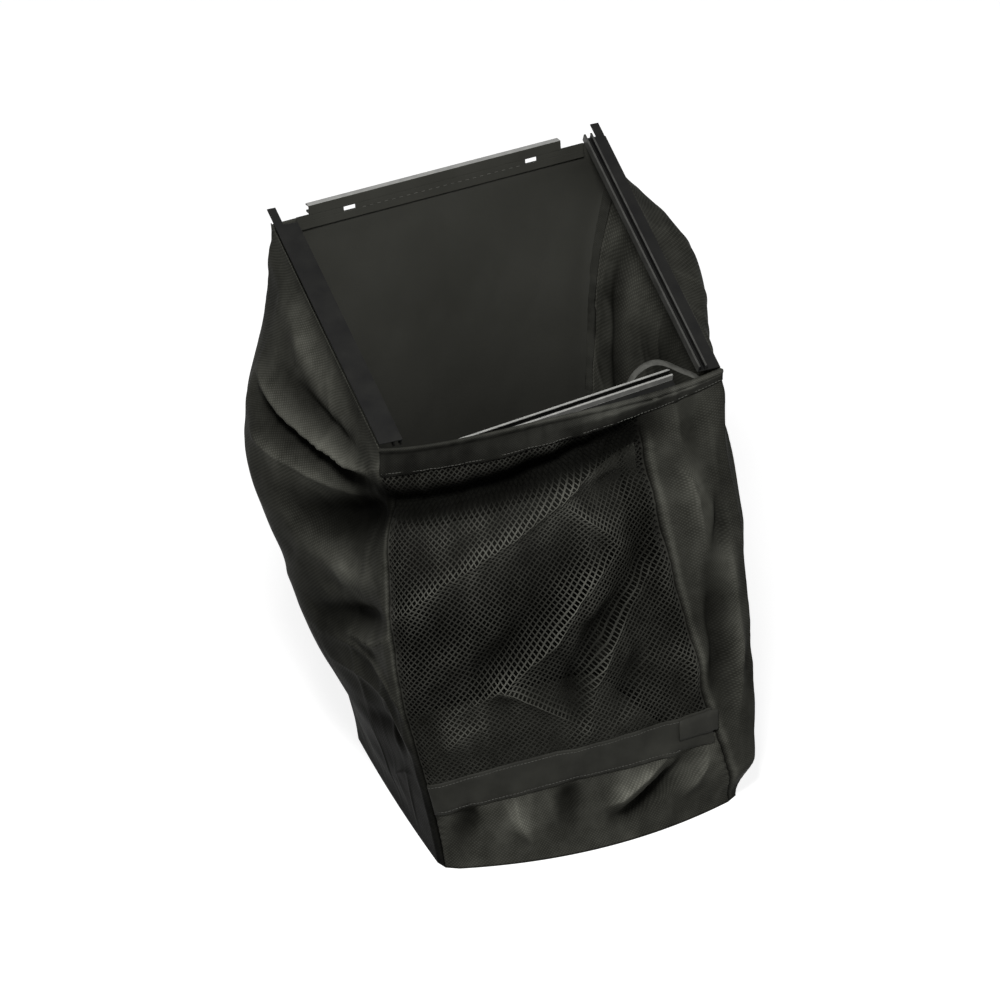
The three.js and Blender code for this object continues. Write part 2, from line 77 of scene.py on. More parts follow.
# Wide billows of the cloth: place round the bag, level from the mouth down, push, reach round, reach down
billows = [
    (3.30, 0.31, 0.088, 0.36, 0.21),
    (3.37, 0.62, 0.058, 0.37, 0.215),
    (1.65, 0.09, 0.065, 0.355, 0.075),
    (1.27, 0.33, 0.016, 0.365, 0.176),
    (1.06, 0.79, 0.026, 0.255, 0.42),
    (0.00, 0.45, 0.030, 0.25, 0.30),
    (0.50, 0.55, 0.030, 0.45, 0.30),
    (2.50, 0.50, 0.015, 0.45, 0.30),
    (2.00, 0.42, -0.027, 0.22, 0.28),
]

# Folds: push (outward, or inward if negative), half width, creased or soft, and the line on the wall
folds = [
    # left side
    (0.010, 0.022, False, [(3.32, 0.05), (3.42, 0.064), (3.56, 0.077), (3.77, 0.07)]),
    (0.017, 0.010, True,
     [(3.24, 0.18), (3.36, 0.181), (3.42, 0.184), (3.56, 0.174),
      (3.74, 0.151), (3.91, 0.09), (3.99, 0.045)]),
    (-0.011, 0.012, False, [(3.34, 0.150), (3.44, 0.140), (3.53, 0.132), (3.69, 0.120), (3.80, 0.10)]),
    (-0.020, 0.012, False, [(3.28, 0.215), (3.35, 0.210), (3.52, 0.203), (3.71, 0.193), (3.91, 0.125)]),
    (0.010, 0.009, True, [(3.30, 0.27), (3.36, 0.264), (3.51, 0.244), (3.65, 0.231), (3.76, 0.215)]),
    (-0.034, 0.020, False,
     [(3.52, 0.335), (3.62, 0.315), (3.72, 0.275), (3.82, 0.235), (3.92, 0.185), (4.02, 0.135)]),
    (0.012, 0.020, False, [(3.52, 0.41), (3.68, 0.395), (3.80, 0.36), (3.92, 0.30)]),
    (-0.017, 0.013, False, [(3.50, 0.56), (3.65, 0.508), (3.80, 0.452), (3.94, 0.39)]),
    (0.014, 0.008, True, [(3.64, 0.55), (3.77, 0.515), (3.87, 0.475), (3.97, 0.418)]),
    (0.009, 0.008, True,
     [(3.54, 0.592), (3.66, 0.565), (3.77, 0.548), (3.90, 0.550), (3.96, 0.57), (3.98, 0.605)]),
    (0.007, 0.012, True, [(3.50, 0.66), (3.66, 0.63), (3.84, 0.62), (3.95, 0.68)]),
    (-0.009, 0.016, False, [(3.60, 0.76), (3.78, 0.71), (3.92, 0.73)]),
    (0.007, 0.012, True, [(3.66, 0.88), (3.80, 0.82), (3.92, 0.79)]),
    # front
    (0.020, 0.013, True,
     [(0.02, 0.365), (0.14, 0.314), (0.25, 0.278), (0.36, 0.237),
      (0.48, 0.184), (0.60, 0.13), (0.67, 0.09)]),
    (-0.034, 0.016, False,
     [(-0.04, 0.125), (0.04, 0.137), (0.14, 0.142), (0.31, 0.143),
      (0.45, 0.125), (0.60, 0.10), (0.72, 0.08)]),
    (0.006, 0.008, True, [(0.12, 0.24), (0.24, 0.21), (0.36, 0.19)]),
    (0.014, 0.011, True, [(0.50, 0.20), (0.57, 0.264), (0.63, 0.321)]),
    (-0.012, 0.018, False, [(0.56, 0.20), (0.63, 0.19), (0.70, 0.18), (0.74, 0.14)]),
    (0.016, 0.010, True,
     [(0.61, 0.335), (0.56, 0.361), (0.49, 0.405), (0.42, 0.482),
      (0.34, 0.52), (0.27, 0.559), (0.15, 0.602)]),
    (-0.016, 0.017, False,
     [(0.73, 0.30), (0.69, 0.37), (0.62, 0.44), (0.53, 0.49), (0.47, 0.56), (0.44, 0.63), (0.46, 0.68)]),
    (-0.013, 0.018, False, [(0.17, 0.56), (0.21, 0.52), (0.30, 0.47), (0.38, 0.42), (0.44, 0.36)]),
    (0.015, 0.010, True,
     [(0.72, 0.39), (0.68, 0.405), (0.62, 0.46), (0.56, 0.518), (0.50, 0.609), (0.48, 0.702)]),
    (-0.009, 0.014, False, [(0.70, 0.50), (0.62, 0.60), (0.57, 0.68)]),
    (0.012, 0.010, True, [(0.24, 0.54), (0.28, 0.562), (0.38, 0.635), (0.48, 0.709)]),
    (0.009, 0.014, True, [(0.08, 0.70), (0.14, 0.66), (0.22, 0.64)]),
    (0.008, 0.015, True, [(0.74, 0.57), (0.79, 0.62), (0.80, 0.68)]),
    (0.016, 0.015, True, [(0.25, 0.83), (0.26, 0.893), (0.28, 0.96)]),
    (-0.012, 0.015, False, [(0.11, 0.84), (0.10, 0.88), (0.07, 0.95)]),
    (-0.014, 0.016, False, [(0.42, 0.83), (0.41, 0.87), (0.39, 0.95)]),
    (0.013, 0.012, True, [(0.52, 0.90), (0.56, 0.886), (0.64, 0.85), (0.72, 0.815), (0.77, 0.80)]),
    (-0.018, 0.011, False, [(0.55, 0.94), (0.62, 0.925), (0.68, 0.90), (0.73, 0.87), (0.77, 0.84)]),
    (0.010, 0.014, True, [(0.84, 0.80), (0.82, 0.87), (0.76, 0.94)]),
    # right side
    (0.014, 0.013, True, [(0.84, 0.19), (0.85, 0.221), (0.86, 0.284), (0.87, 0.371)]),
    (-0.010, 0.009, False, [(0.95, 0.26), (0.93, 0.33), (0.91, 0.39)]),
    (0.013, 0.010, True, [(0.94, 0.36), (0.93, 0.41), (0.93, 0.59), (0.93, 0.70), (0.92, 0.84)]),
    (-0.014, 0.013, False, [(0.885, 0.43), (0.885, 0.54), (0.885, 0.64), (0.89, 0.75)]),
    (0.009, 0.020, False, [(1.15, 0.12), (1.10, 0.40)]),
    (-0.010, 0.028, False, [(1.50, 0.15), (1.55, 0.80)]),
    (0.010, 0.012, True, [(1.25, 0.06), (1.30, 0.30), (1.42, 0.60)]),
    (-0.012, 0.016, False, [(1.86, 0.10), (1.80, 0.35), (1.74, 0.60)]),
]

# Painted shade under the hem, along the line where the net tucks in behind it: places round the bag, and the
# level at each
TUCK_SHADE_PLACES = (-0.06, 0.0, 0.14, 0.33, 0.51, 0.64, 0.76)
TUCK_SHADE_LEVELS = (0.16, 0.12, 0.130, 0.132, 0.108, 0.085, 0.065)
TUCK_SHADE_REACH = 0.040

# Wrinkles that handling leaves all over: direction, wavelength and phase of the waves that they come from
handled = np.random.default_rng(4)
wrinkle_waves = [
    (handled.normal(size=3), handled.uniform(0.7, 1.5), handled.uniform(0, 6.3)) for _ in range(14)
]


def smooth_step(value, low, high):
    share = np.clip((value - low) / (high - low), 0, 1)
    return share * share * (3 - 2 * share)


def straight_wall(place, level):
    turn = np.mod(place, 4)
    side = np.minimum(turn.astype(int), 3)
    share = (turn - side)[..., None]
    level = level[..., None]
    start = mouth_corners[side] * (1 - level) + base_corners[side] * level
    end = mouth_corners[(side + 1) % 4] * (1 - level) + base_corners[(side + 1) % 4] * level
    chord = end - start
    outward = np.stack([chord[..., 1], -chord[..., 0], np.zeros_like(turn)], axis=-1)
    outward /= np.linalg.norm(outward, axis=-1, keepdims=True)
    return start + chord * share + outward * base_bow[side][..., None] * level**2 * 4 * share * (1 - share)


def apart(place, other):
    return np.mod(place - other + 2, 4) - 2


def fold_push(place, level):
    total = np.zeros_like(place)
    for push, reach, creased, line in folds:
        nearest = np.full_like(place, np.inf)
        along = np.zeros_like(place)
        for step, (start, end) in enumerate(zip(line[:-1], line[1:])):
            run = np.array([(end[0] - start[0]) * MOUTH_WIDTH, (end[1] - start[1]) * FRONT_HEIGHT])
            across = apart(place, start[0]) * MOUTH_WIDTH
            down = (level - start[1]) * FRONT_HEIGHT
            here = np.stack([across, down], axis=-1)
            share = np.clip(here @ run / (run @ run), 0, 1)
            off = np.linalg.norm(here - share[..., None] * run, axis=-1)
            along = np.where(off < nearest, (step + share) / (len(line) - 1), along)
            nearest = np.minimum(off, nearest)
        shape = np.exp(-nearest / reach) if creased else np.exp(-((nearest / reach) ** 2))
        total += push * shape * (0.3 + 0.7 * np.sin(np.pi * along))
    return total


def waves(points, size, first):
    total = np.zeros(points.shape[:-1])
    chosen = zip(wrinkle_waves[first:first + 5], wrinkle_waves[first + 2:])
    for (aim, length, phase), (aside, _, lag) in chosen:
        bend = 1.6 * np.sin(points @ aside * (2.2 / size) + lag)
        total += np.sin(points @ aim * (3.6 / (size * length)) + phase + bend)
    return total / 2.2


def wrinkles(points):
    """Shallow creases where slow waves cross their middle, mostly down the bag, over a soft unevenness."""
    drawn = points * (1.0, 1.0, 0.45)
    long_creases = np.exp(-((waves(drawn, 0.110, 0) / 0.30) ** 2))
    short_creases = np.exp(-((waves(drawn, 0.060, 5) / 0.35) ** 2))
    return 0.7 * long_creases + 0.3 * short_creases - 0.4 + 0.5 * waves(points, 0.050, 7)


def seam_dip(place, level):
    """How far the stitching draws the cloth in beside the four upright seams, in small even puckers."""
    total = np.zeros_like(place)
    for seam in (0.0, net_seam(level), 2.0, 3.0):
        off = np.abs(apart(place, seam)) * MOUTH_WIDTH
        pucker = np.sin(level * FRONT_HEIGHT * 2 * np.pi / 0.013 + 2.4 * np.sin(level * 41))
        total += -0.0024 * np.exp(-((off / 0.005) ** 2)) + 0.0005 * pucker * np.exp(-((off / 0.012) ** 2))
    return total


def form(place, level, worn=1.0):
    """Points on the outside of the cloth, and how far each stands up or lies in a valley, as a crest value
    that paints highlight on crests and shade in valleys and under the hem.

    Place counts the sides from the front left corner, and level runs from the mouth down.
    """
    place, level = np.broadcast_arrays(np.asarray(place, float), np.asarray(level, float))
    softness = CORNER_SOFTNESS * smooth_step(level, 0, 0.2)
    points = straight_wall(place, level) * 2
    points = (points + straight_wall(place - softness, level) + straight_wall(place + softness, level)) / 4
    middle = sum(straight_wall(np.full_like(place, side), level) for side in (0.5, 1.5, 2.5, 3.5)) / 4
    outward = (points - middle) * (1, 1, 0)
    outward /= np.linalg.norm(outward, axis=-1, keepdims=True)
    folded = fold_push(place, level)
    handling = worn * wrinkles(points)
    stiff = 1 - 0.55 * np.exp(-(((level - BAND_MIDDLE) / 0.045) ** 2))
    # Painted shade under the hem where the net tucks in, taken off the crest value
    turn = np.mod(place + 1, 4) - 1
    tuck_shade = np.exp(-(((level - np.interp(turn, TUCK_SHADE_PLACES, TUCK_SHADE_LEVELS)) / TUCK_SHADE_REACH) ** 4))
    tuck_shade = tuck_shade * smooth_step(turn, -0.12, 0.02) * smooth_step(turn, 0.84, 0.70)
    # The crest value: painted highlight where the cloth stands up, painted shade in valleys and under the
    # hem
    crest = np.clip((folded / 0.011 + 0.3 * handling) * stiff - 2.0 * tuck_shade, -2.6, 1.1)
    push = (folded + 0.0020 * handling) * stiff
    for around, down, height, reach_around, reach_down in billows:
        across = apart(place, around) / reach_around
        push += height * np.exp(-(across**2) - ((level - down) / reach_down) ** 2)
    push += seam_dip(place, level)
    push *= smooth_step(level, 0, 0.06) * smooth_step(1 - level, 0, 0.1)
    points += outward * push[..., None]
    sag = HEM_SAG * (1 - (2 * place - 1) ** 4) * (1 - smooth_step(level, 0, SAG_END))
    points[..., 2] -= np.where((place > 0) & (place < 1), sag, 0)
    return points + home, crest


def wall(place, level, worn=1.0):
    return form(place, level, worn)[0]


def seam_painted_light(place, level):
    """Painted shade in the groove that a stitched seam draws in, and a painted highlight along both sides of
    it.
    """
    total = np.zeros_like(place)
    for seam in (0.0, net_seam(level), 2.0, 3.0):
        off = np.abs(apart(place, seam)) * MOUTH_WIDTH
        total += 0.7 * np.exp(-(((off - 0.007) / 0.004) ** 2)) - 1.5 * np.exp(-((off / 0.0028) ** 2))
    return total * smooth_step(level, 0.06, 0.12)


def net_seam(level):
    """Place of the seam that joins the front to the right side."""
    return 0.755 + 0.2 * np.asarray(level, float) ** 2.8


# The part's origin lies below the middle of the whole bag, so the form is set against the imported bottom
home = np.zeros(3)
bottom_edge = wall(np.linspace(0, 4, 49), np.ones(49))
home[:2] = np.array(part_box("bottom_panel")[0])[:2] - bottom_edge.min(axis=0)[:2]


def between_seams(left_seam, right_seam, levels, columns):
    """Places and levels of a grid from one seam to another."""
    shares = np.linspace(0, 1, columns + 1)
    levels = np.asarray(levels, float)
    left = np.broadcast_to(left_seam(levels) if callable(left_seam) else left_seam, levels.shape)
    right = np.broadcast_to(right_seam(levels) if callable(right_seam) else right_seam, levels.shape)
    place = left[:, None] + (right - left)[:, None] * shares
    return place, np.broadcast_to(levels[:, None], place.shape)


def wall_normals(place, level):
    step = 0.004
    across = wall(place + step, level) - wall(place - step, level)
    down = wall(place, np.minimum(level + step, 1)) - wall(place, np.maximum(level - step, 0))
    normals = np.cross(down, across)
    return normals / np.linalg.norm(normals, axis=-1, keepdims=True)


def placed(name, data):
    """A new object at the origin."""
    piece = bpy.data.objects.new(name, data)
    bpy.context.collection.objects.link(piece)
    return piece


# The crest value is painted into the colour: highlight on crests, shade in valleys
def keep_crest(mesh, crest):
    heights = mesh.attributes.new("crest", "FLOAT", "POINT")
    heights.data.foreach_set("value", crest.astype(np.float32).ravel())


def cloth_object(name, points, thickness, material, crest=None):
    """A closed sheet with its outer face on the grid of points, and UVs in metres along the cloth."""
    rows, columns = points.shape[:2]
    corner = np.arange(rows * columns).reshape(rows, columns)
    faces = np.stack([corner[:-1, :-1], corner[1:, :-1], corner[1:, 1:], corner[:-1, 1:]], axis=-1)
    mesh = bpy.data.meshes.new(name)
    mesh.from_pydata(points.reshape(-1, 3).tolist(), [], faces.reshape(-1, 4).tolist())
    middle = points[rows // 2]
    across = np.concatenate([[0], np.cumsum(np.linalg.norm(np.diff(middle, axis=0), axis=-1))])
    centre = points[:, columns // 2]
    down = np.concatenate([[0], np.cumsum(np.linalg.norm(np.diff(centre, axis=0), axis=-1))])
    grid = np.stack(np.meshgrid(across, down), axis=-1).reshape(-1, 2)
    uv = mesh.uv_layers.new(name="cloth")
    uv.data.foreach_set("uv", grid[faces.ravel()].astype(np.float32).ravel())
    if crest is not None:
        keep_crest(mesh, crest)
    mesh.polygons.foreach_set("use_smooth", [True] * len(mesh.polygons))
    mesh.materials.append(material)
    piece = placed(name, mesh)
    solidify = piece.modifiers.new("thickness", "SOLIDIFY")
    solidify.thickness = thickness
    solidify.offset = -1
    return piece


def thread_height(nodes, links, uv, pitch, turn):
    """Height of one set of threads, laid side by side at a pitch and turned by an angle."""
    mapping = nodes.new("ShaderNodeMapping")
    mapping.inputs["Rotation"].default_value = (0, 0, turn)
    links.new(uv, mapping.inputs["Vector"])
    threads = nodes.new("ShaderNodeTexWave")
    threads.wave_type = "BANDS"
    threads.bands_direction = "X"
    threads.inputs["Scale"].default_value = 2 * math.pi / (20 * pitch)
    threads.inputs["Distortion"].default_value = 0
    links.new(mapping.outputs["Vector"], threads.inputs["Vector"])
    return threads.outputs["Fac"]


def painted_light_by_form(nodes, links, colour, shader):
    """Paints the crest value into the colour: a painted highlight on the cloth's crests and painted shade in
    its valleys.
    """
    crest = nodes.new("ShaderNodeAttribute")
    crest.attribute_name = "crest"
    factor = nodes.new("ShaderNodeMath")
    factor.operation = "POWER"
    factor.inputs[0].default_value = 2.4
    links.new(crest.outputs["Fac"], factor.inputs[1])
    scaled = nodes.new("ShaderNodeVectorMath")
    scaled.operation = "SCALE"
    links.new(colour, scaled.inputs["Vector"])
    links.new(factor.outputs["Value"], scaled.inputs["Scale"])
    links.new(scaled.outputs["Vector"], shader.inputs["Base Color"])


def plain_finish(name):
    material = bpy.data.materials.new(name)
    material.use_nodes = True
    nodes = material.node_tree.nodes
    return material, nodes, material.node_tree.links, nodes["Principled BSDF"]


def two_tones(nodes, links, value, low, high, starts, ends):
    """Goes from the low colour to the high one as the value rises."""
    ramp = nodes.new("ShaderNodeValToRGB")
    for element, position, colour in zip(ramp.color_ramp.elements, (starts, ends), (low, high)):
        element.position = position
        element.color = (*colour, 1)
    links.new(value, ramp.inputs["Fac"])
    return ramp.outputs["Color"]


def roughened(nodes, links, height, shader, strength, distance):
    bump = nodes.new("ShaderNodeBump")
    bump.inputs["Strength"].default_value = strength
    bump.inputs["Distance"].default_value = distance
    links.new(height, bump.inputs["Height"])
    links.new(bump.outputs["Normal"], shader.inputs["Normal"])


def woven_material(name, low, high, pitch, relief, roughness):
    """Cloth of two crossed sets of threads, with patches that are slightly more rubbed than others."""
    material, nodes, links, shader = plain_finish(name)
    turn = math.radians(45)
    uv = nodes.new("ShaderNodeUVMap").outputs["UV"]
    weave = nodes.new("ShaderNodeMath")
    weave.operation = "MULTIPLY"
    links.new(thread_height(nodes, links, uv, pitch, turn), weave.inputs[0])
    links.new(thread_height(nodes, links, uv, pitch, turn + math.pi / 2), weave.inputs[1])
    place = nodes.new("ShaderNodeTexCoord").outputs["Object"]
    rubbed = nodes.new("ShaderNodeTexNoise")
    rubbed.inputs["Scale"].default_value = 20
    rubbed.inputs["Detail"].default_value = 9
    rubbed.inputs["Roughness"].default_value = 0.65
    links.new(place, rubbed.inputs["Vector"])
    shade = nodes.new("ShaderNodeMath")
    shade.operation = "MULTIPLY_ADD"
    links.new(weave.outputs["Value"], shade.inputs[0])
    shade.inputs[1].default_value = 0.35
    links.new(rubbed.outputs["Fac"], shade.inputs[2])
    colour = two_tones(nodes, links, shade.outputs["Value"], low, high, 0.35, 0.85)
    # painted highlight on crests and painted shade in valleys, from the crest value
    painted_light_by_form(nodes, links, colour, shader)
    roughened(nodes, links, weave.outputs["Value"], shader, 0.4, relief)
    shader.inputs["Roughness"].default_value = roughness
    shader.inputs["Specular IOR Level"].default_value = 0.005
    return material


nylon = woven_material(
    "nylon_cloth", (0.0156, 0.0156, 0.013), (0.047, 0.047, 0.040), 0.0032, 0.0003, 0.5
)


def side_piece(name, left_seam, right_seam, columns, rows, worn, material, painted_shade):
    place, level = between_seams(left_seam, right_seam, np.linspace(0, WALL_END, rows + 1), columns)
    points, crest = form(place, level, worn)
    # Painted light: the crest value, the seams' painted shade and highlight, and the given painted shade
    return cloth_object(name, points, NYLON, material, crest + seam_painted_light(place, level) + painted_shade(level))


# Painted shade: the left side darker towards the ground
def left_painted_shade(level):
    return -2.0 * smooth_step(level, 0.45, 0.9)


left_side = side_piece("left_side", 3.0, 4.0, 168, 232, 1.0, nylon, left_painted_shade)
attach(left_side, "root")
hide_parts("left_side_panel")

# Right side panel
# The same nylon, sewn to the net by a seam that starts well inside the front corner and wanders towards it.
# It puffs out just below the mouth.
right_side = side_piece("right_side", net_seam, 2.0, 184, 224, 1.0, nylon, np.zeros_like)
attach(right_side, "root")
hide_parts("right_side_panel")

# Back panel
# A smooth sheet of coated cloth that takes the blow of the clippings. It hangs from the back channel,
# and two slots for the frame's hooks are punched through both below the edge.
SLOT_WIDTH = 0.016
SLOT_HEIGHT = 0.0065
SLOT_SPREAD = 0.120
SLOT_DROP = 0.005
BACK_HEIGHT = (mouth_corners[2][2] + mouth_corners[3][2]) / 2


def cloudy_material(name, low, high, cloud_scale, grain_scale, grain, roughness, specular):
    """A smooth finish with faint clouds of wear and a fine grain, for coated cloth and for plastic."""
    material, nodes, links, shader = plain_finish(name)
    place = nodes.new("ShaderNodeTexCoord").outputs["Object"]
    clouds = nodes.new("ShaderNodeTexNoise")
    clouds.inputs["Scale"].default_value = cloud_scale
    clouds.inputs["Detail"].default_value = 5
    links.new(place, clouds.inputs["Vector"])
    colour = two_tones(nodes, links, clouds.outputs["Fac"], low, high, 0.3, 0.75)
    # painted highlight on crests and painted shade in valleys, from the crest value
    painted_light_by_form(nodes, links, colour, shader)
    speckle = nodes.new("ShaderNodeTexNoise")
    speckle.inputs["Scale"].default_value = grain_scale
    links.new(place, speckle.inputs["Vector"])
    roughened(nodes, links, speckle.outputs["Fac"], shader, 0.3, grain)
    shader.inputs["Roughness"].default_value = roughness
    shader.inputs["Specular IOR Level"].default_value = specular
    return material


vinyl = cloudy_material(
    "coated_cloth", (0.028, 0.028, 0.024), (0.038, 0.038, 0.033), 7, 700, 0.0005, 0.6, 0.06
)


def with_lines(values, lines):
    """Even stations that also pass through the given lines."""
    apart_enough = [v for v in values if all(abs(v - line) > 0.003 for line in lines)]
    return np.array(sorted([*apart_enough, *lines]))


slot_shares = [
    0.5 + side * (SLOT_SPREAD + half * SLOT_WIDTH / 2) / MOUTH_WIDTH for side in (-1, 1) for half in (-1, 1)
]
slot_levels = [(SLOT_DROP + half * SLOT_HEIGHT / 2) / BACK_HEIGHT for half in (-1, 1)]
back_shares = with_lines(np.linspace(0, 1, 91), slot_shares)
back_levels = with_lines(np.linspace(0, WALL_END, 131), slot_levels)
back_place, back_level = np.meshgrid(2 + back_shares, back_levels)
back_painted_shade = -0.9 * smooth_step(back_level, 0.2, 0.7)  # painted shade, darker towards the closed end
back = cloth_object("back", wall(back_place, back_level, 0.25), NYLON, vinyl, back_painted_shade)


def open_slots(piece, shares, levels, share_lines, level_lines):
    """Takes out the faces of a grid that lie inside the two slots."""
    across = (shares[:-1] + shares[1:]) / 2
    down = (levels[:-1] + levels[1:]) / 2
    low, high = sorted(share_lines[:2]), sorted(share_lines[2:])
    in_slot = ((across > low[0]) & (across < low[1])) | ((across > high[0]) & (across < high[1]))
    in_slot = in_slot[None] & ((down > min(level_lines)) & (down < max(level_lines)))[:, None]
    mesh = bmesh.new()
    mesh.from_mesh(piece.data)
    mesh.faces.ensure_lookup_table()
    gone = [mesh.faces[int(k)] for k in np.flatnonzero(in_slot.ravel())]
    bmesh.ops.delete(mesh, geom=gone, context="FACES")
    mesh.to_mesh(piece.data)
    mesh.free()


open_slots(back, back_shares, back_levels, slot_shares, slot_levels)
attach(back, "root")
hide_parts("back_panel")

# Front hem
# A strip of the same nylon folded over the top of the net and round a cord, so its upper edge is full.
# It runs on over the right side to the corner, where it leans back and catches the light.
HEM_HEIGHT = 0.037
PIPING_REACH = 0.008  # the cord keeps the hem's upper edge full down to here
RIPPLE_REACH = 0.040
STRIP_GAP = 0.001  # strips stop this share of a side short of the corners

hem_cloth = woven_material(
    "hem_cloth", (0.008, 0.008, 0.007), (0.030, 0.030, 0.026), 0.0024, 0.0003, 0.55
)


def no_painted_light(places, drop):
    return np.zeros_like(places)


def strip(name, places, profile, levels_at, gathers, material, taper=np.ones_like, painted_light=no_painted_light):
    """Sweeps a closed profile of (drop, distance off the wall) along the wall, with small gathers."""
    places = np.asarray(places, float)
    start = levels_at(places)
    ripple = np.sin(places * 83 + 2 * np.sin(places * 29)) * gathers
    uneven = 1 + gathers * 30 * np.sin(places * 21 + 1)
    rings = []
    crests = []
    for drop, off in profile:
        wave = ripple * math.sin(math.pi * min(max(drop / RIPPLE_REACH, 0), 1))
        slack = (taper(places) if drop > PIPING_REACH else 1) * uneven
        level = np.clip(start + drop * slack / FRONT_HEIGHT, 0, 1)
        base, crest = form(places, level)
        rings.append(base + wall_normals(places, level) * (off + wave)[:, None])
        # Painted light: half the crest value of the wall, and the strip's own painted highlight and shade
        crests.append(0.5 * crest + painted_light(places, drop))
    points = np.stack(rings, axis=0)
    count, length = points.shape[:2]
    at = np.arange(count * length).reshape(count, length)
    faces = []
    for k in range(count):
        after = (k + 1) % count
        for column in range(length - 1):
            faces.append([at[k, column], at[after, column], at[after, column + 1], at[k, column + 1]])
    faces.append(list(at[:, 0])[::-1])
    faces.append(list(at[:, -1]))
    mesh = bpy.data.meshes.new(name)
    mesh.from_pydata(points.reshape(-1, 3).tolist(), [], faces)
    run = np.concatenate([[0], np.cumsum(np.linalg.norm(np.diff(points[0], axis=0), axis=-1))])
    girth = np.concatenate([[0], np.cumsum([math.dist(a, b) for a, b in zip(profile[:-1], profile[1:])])])
    grid = np.stack(np.meshgrid(run, girth), axis=-1).reshape(-1, 2)
    uv = mesh.uv_layers.new(name="cloth")
    order = np.zeros(len(mesh.loops), int)
    mesh.loops.foreach_get("vertex_index", order)
    uv.data.foreach_set("uv", grid[order].astype(np.float32).ravel())
    keep_crest(mesh, np.stack(crests))
    mesh.polygons.foreach_set("use_smooth", [True] * len(mesh.polygons))
    mesh.materials.append(material)
    return placed(name, mesh)


hem_profile = [(0.001, -0.0008), (-0.0012, 0.0002), (-0.0016, 0.0022), (0.0002, 0.0042), (0.0028, 0.0048)]
hem_profile += [(0.0052, 0.0040), (0.0066, 0.0026), (0.010, 0.0022), (0.016, 0.0028), (0.022, 0.0030)]
hem_profile += [(0.028, 0.0026), (0.034, 0.0022), (HEM_HEIGHT, 0.0018), (HEM_HEIGHT + 0.0008, 0.0008)]
hem_profile += [(HEM_HEIGHT, 0.0002), (0.020, 0.0002)]


def hem_taper(place):
    return np.interp(place, (0, 0.33, 0.5, 0.69, 0.9, 1), (0.86, 0.94, 0.90, 0.76, 0.46, 0.40))


def hem_painted_light(places, drop):
    """Painted highlight along the piped edge all along, and on the roll below it at the right, where it
    leans back; painted shade on the hem's left part.
    """
    piping = 1.0 if drop < 0.0015 else 0.0
    roll = 1.3 * smooth_step(places, 0.45, 0.7) if 0.0015 <= drop < 0.018 else 0.0
    return piping + roll - 0.5 * smooth_step(places, 0.5, 0.2)


hem_places = np.linspace(STRIP_GAP, 1 - STRIP_GAP, 260)
hem = strip("hem", hem_places, hem_profile, np.zeros_like, 0.0014, hem_cloth, hem_taper, hem_painted_light)
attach(hem, "root")
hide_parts("front_hem")

# Net
# An open knitted net that lets the air out through the front. The holes stand on their corners.
NET_PITCH = 0.0078
NET_TOP = 0.010 / FRONT_HEIGHT  # behind the hem
NET_END = 0.795  # behind the band
NET_THREAD = 0.0008
NET_WIDTH = 0.37
NET_WEAR = 1.2  # the soft net takes handling more than the cloth
HOLE_SHARE = 0.74

net_knit = woven_material("net_knit", (0.020, 0.020, 0.017), (0.055, 0.055, 0.048), 0.0013, 0.0002, 0.5)


def net_tree(material):
    """Opens each marked cell of a surface and leaves the strands between them."""
    tree = bpy.data.node_groups.new("open_cells", "GeometryNodeTree")
    tree.interface.new_socket("Cells", in_out="INPUT", socket_type="NodeSocketGeometry")
    share = tree.interface.new_socket("Hole Share", in_out="INPUT", socket_type="NodeSocketFloat")
    share.default_value = 0.6
    tree.interface.new_socket("Net", in_out="OUTPUT", socket_type="NodeSocketGeometry")
    nodes, links = tree.nodes, tree.links
    inlet = nodes.new("NodeGroupInput")
    open_mark = nodes.new("GeometryNodeInputNamedAttribute")
    open_mark.data_type = "BOOLEAN"
    open_mark.inputs["Name"].default_value = "open"
    lift = nodes.new("GeometryNodeExtrudeMesh")
    lift.mode = "FACES"
    lift.inputs["Offset Scale"].default_value = 0
    lift.inputs["Individual"].default_value = True
    links.new(inlet.outputs["Cells"], lift.inputs["Mesh"])
    links.new(open_mark.outputs["Attribute"], lift.inputs["Selection"])
    shrink = nodes.new("GeometryNodeScaleElements")
    shrink.domain = "FACE"
    links.new(lift.outputs["Mesh"], shrink.inputs["Geometry"])
    links.new(lift.outputs["Top"], shrink.inputs["Selection"])
    links.new(inlet.outputs["Hole Share"], shrink.inputs["Scale"])
    open_cells = nodes.new("GeometryNodeDeleteGeometry")
    open_cells.domain = "FACE"
    links.new(shrink.outputs["Geometry"], open_cells.inputs["Geometry"])
    links.new(lift.outputs["Top"], open_cells.inputs["Selection"])
    realize = nodes.new("GeometryNodeRealizeInstances")
    links.new(open_cells.outputs["Geometry"], realize.inputs["Geometry"])
    paint = nodes.new("GeometryNodeSetMaterial")
    paint.inputs["Material"].default_value = material
    links.new(realize.outputs["Geometry"], paint.inputs["Geometry"])
    outlet = nodes.new("NodeGroupOutput")
    links.new(paint.outputs["Geometry"], outlet.inputs["Net"])
    return tree


def grown(piece, tree, **values):
    """Runs a geometry tree on a piece and keeps the result as its plain mesh."""
    modifier = piece.modifiers.new("growth", "NODES")
    modifier.node_group = tree
    for item in tree.interface.items_tree:
        if item.in_out == "INPUT" and item.name in values:
            modifier[item.identifier] = values[item.name]
    bpy.context.view_layer.update()
    ready = piece.evaluated_get(bpy.context.evaluated_depsgraph_get())
    mesh = bpy.data.meshes.new_from_object(ready)
    piece.modifiers.remove(modifier)
    piece.data = mesh
    return piece


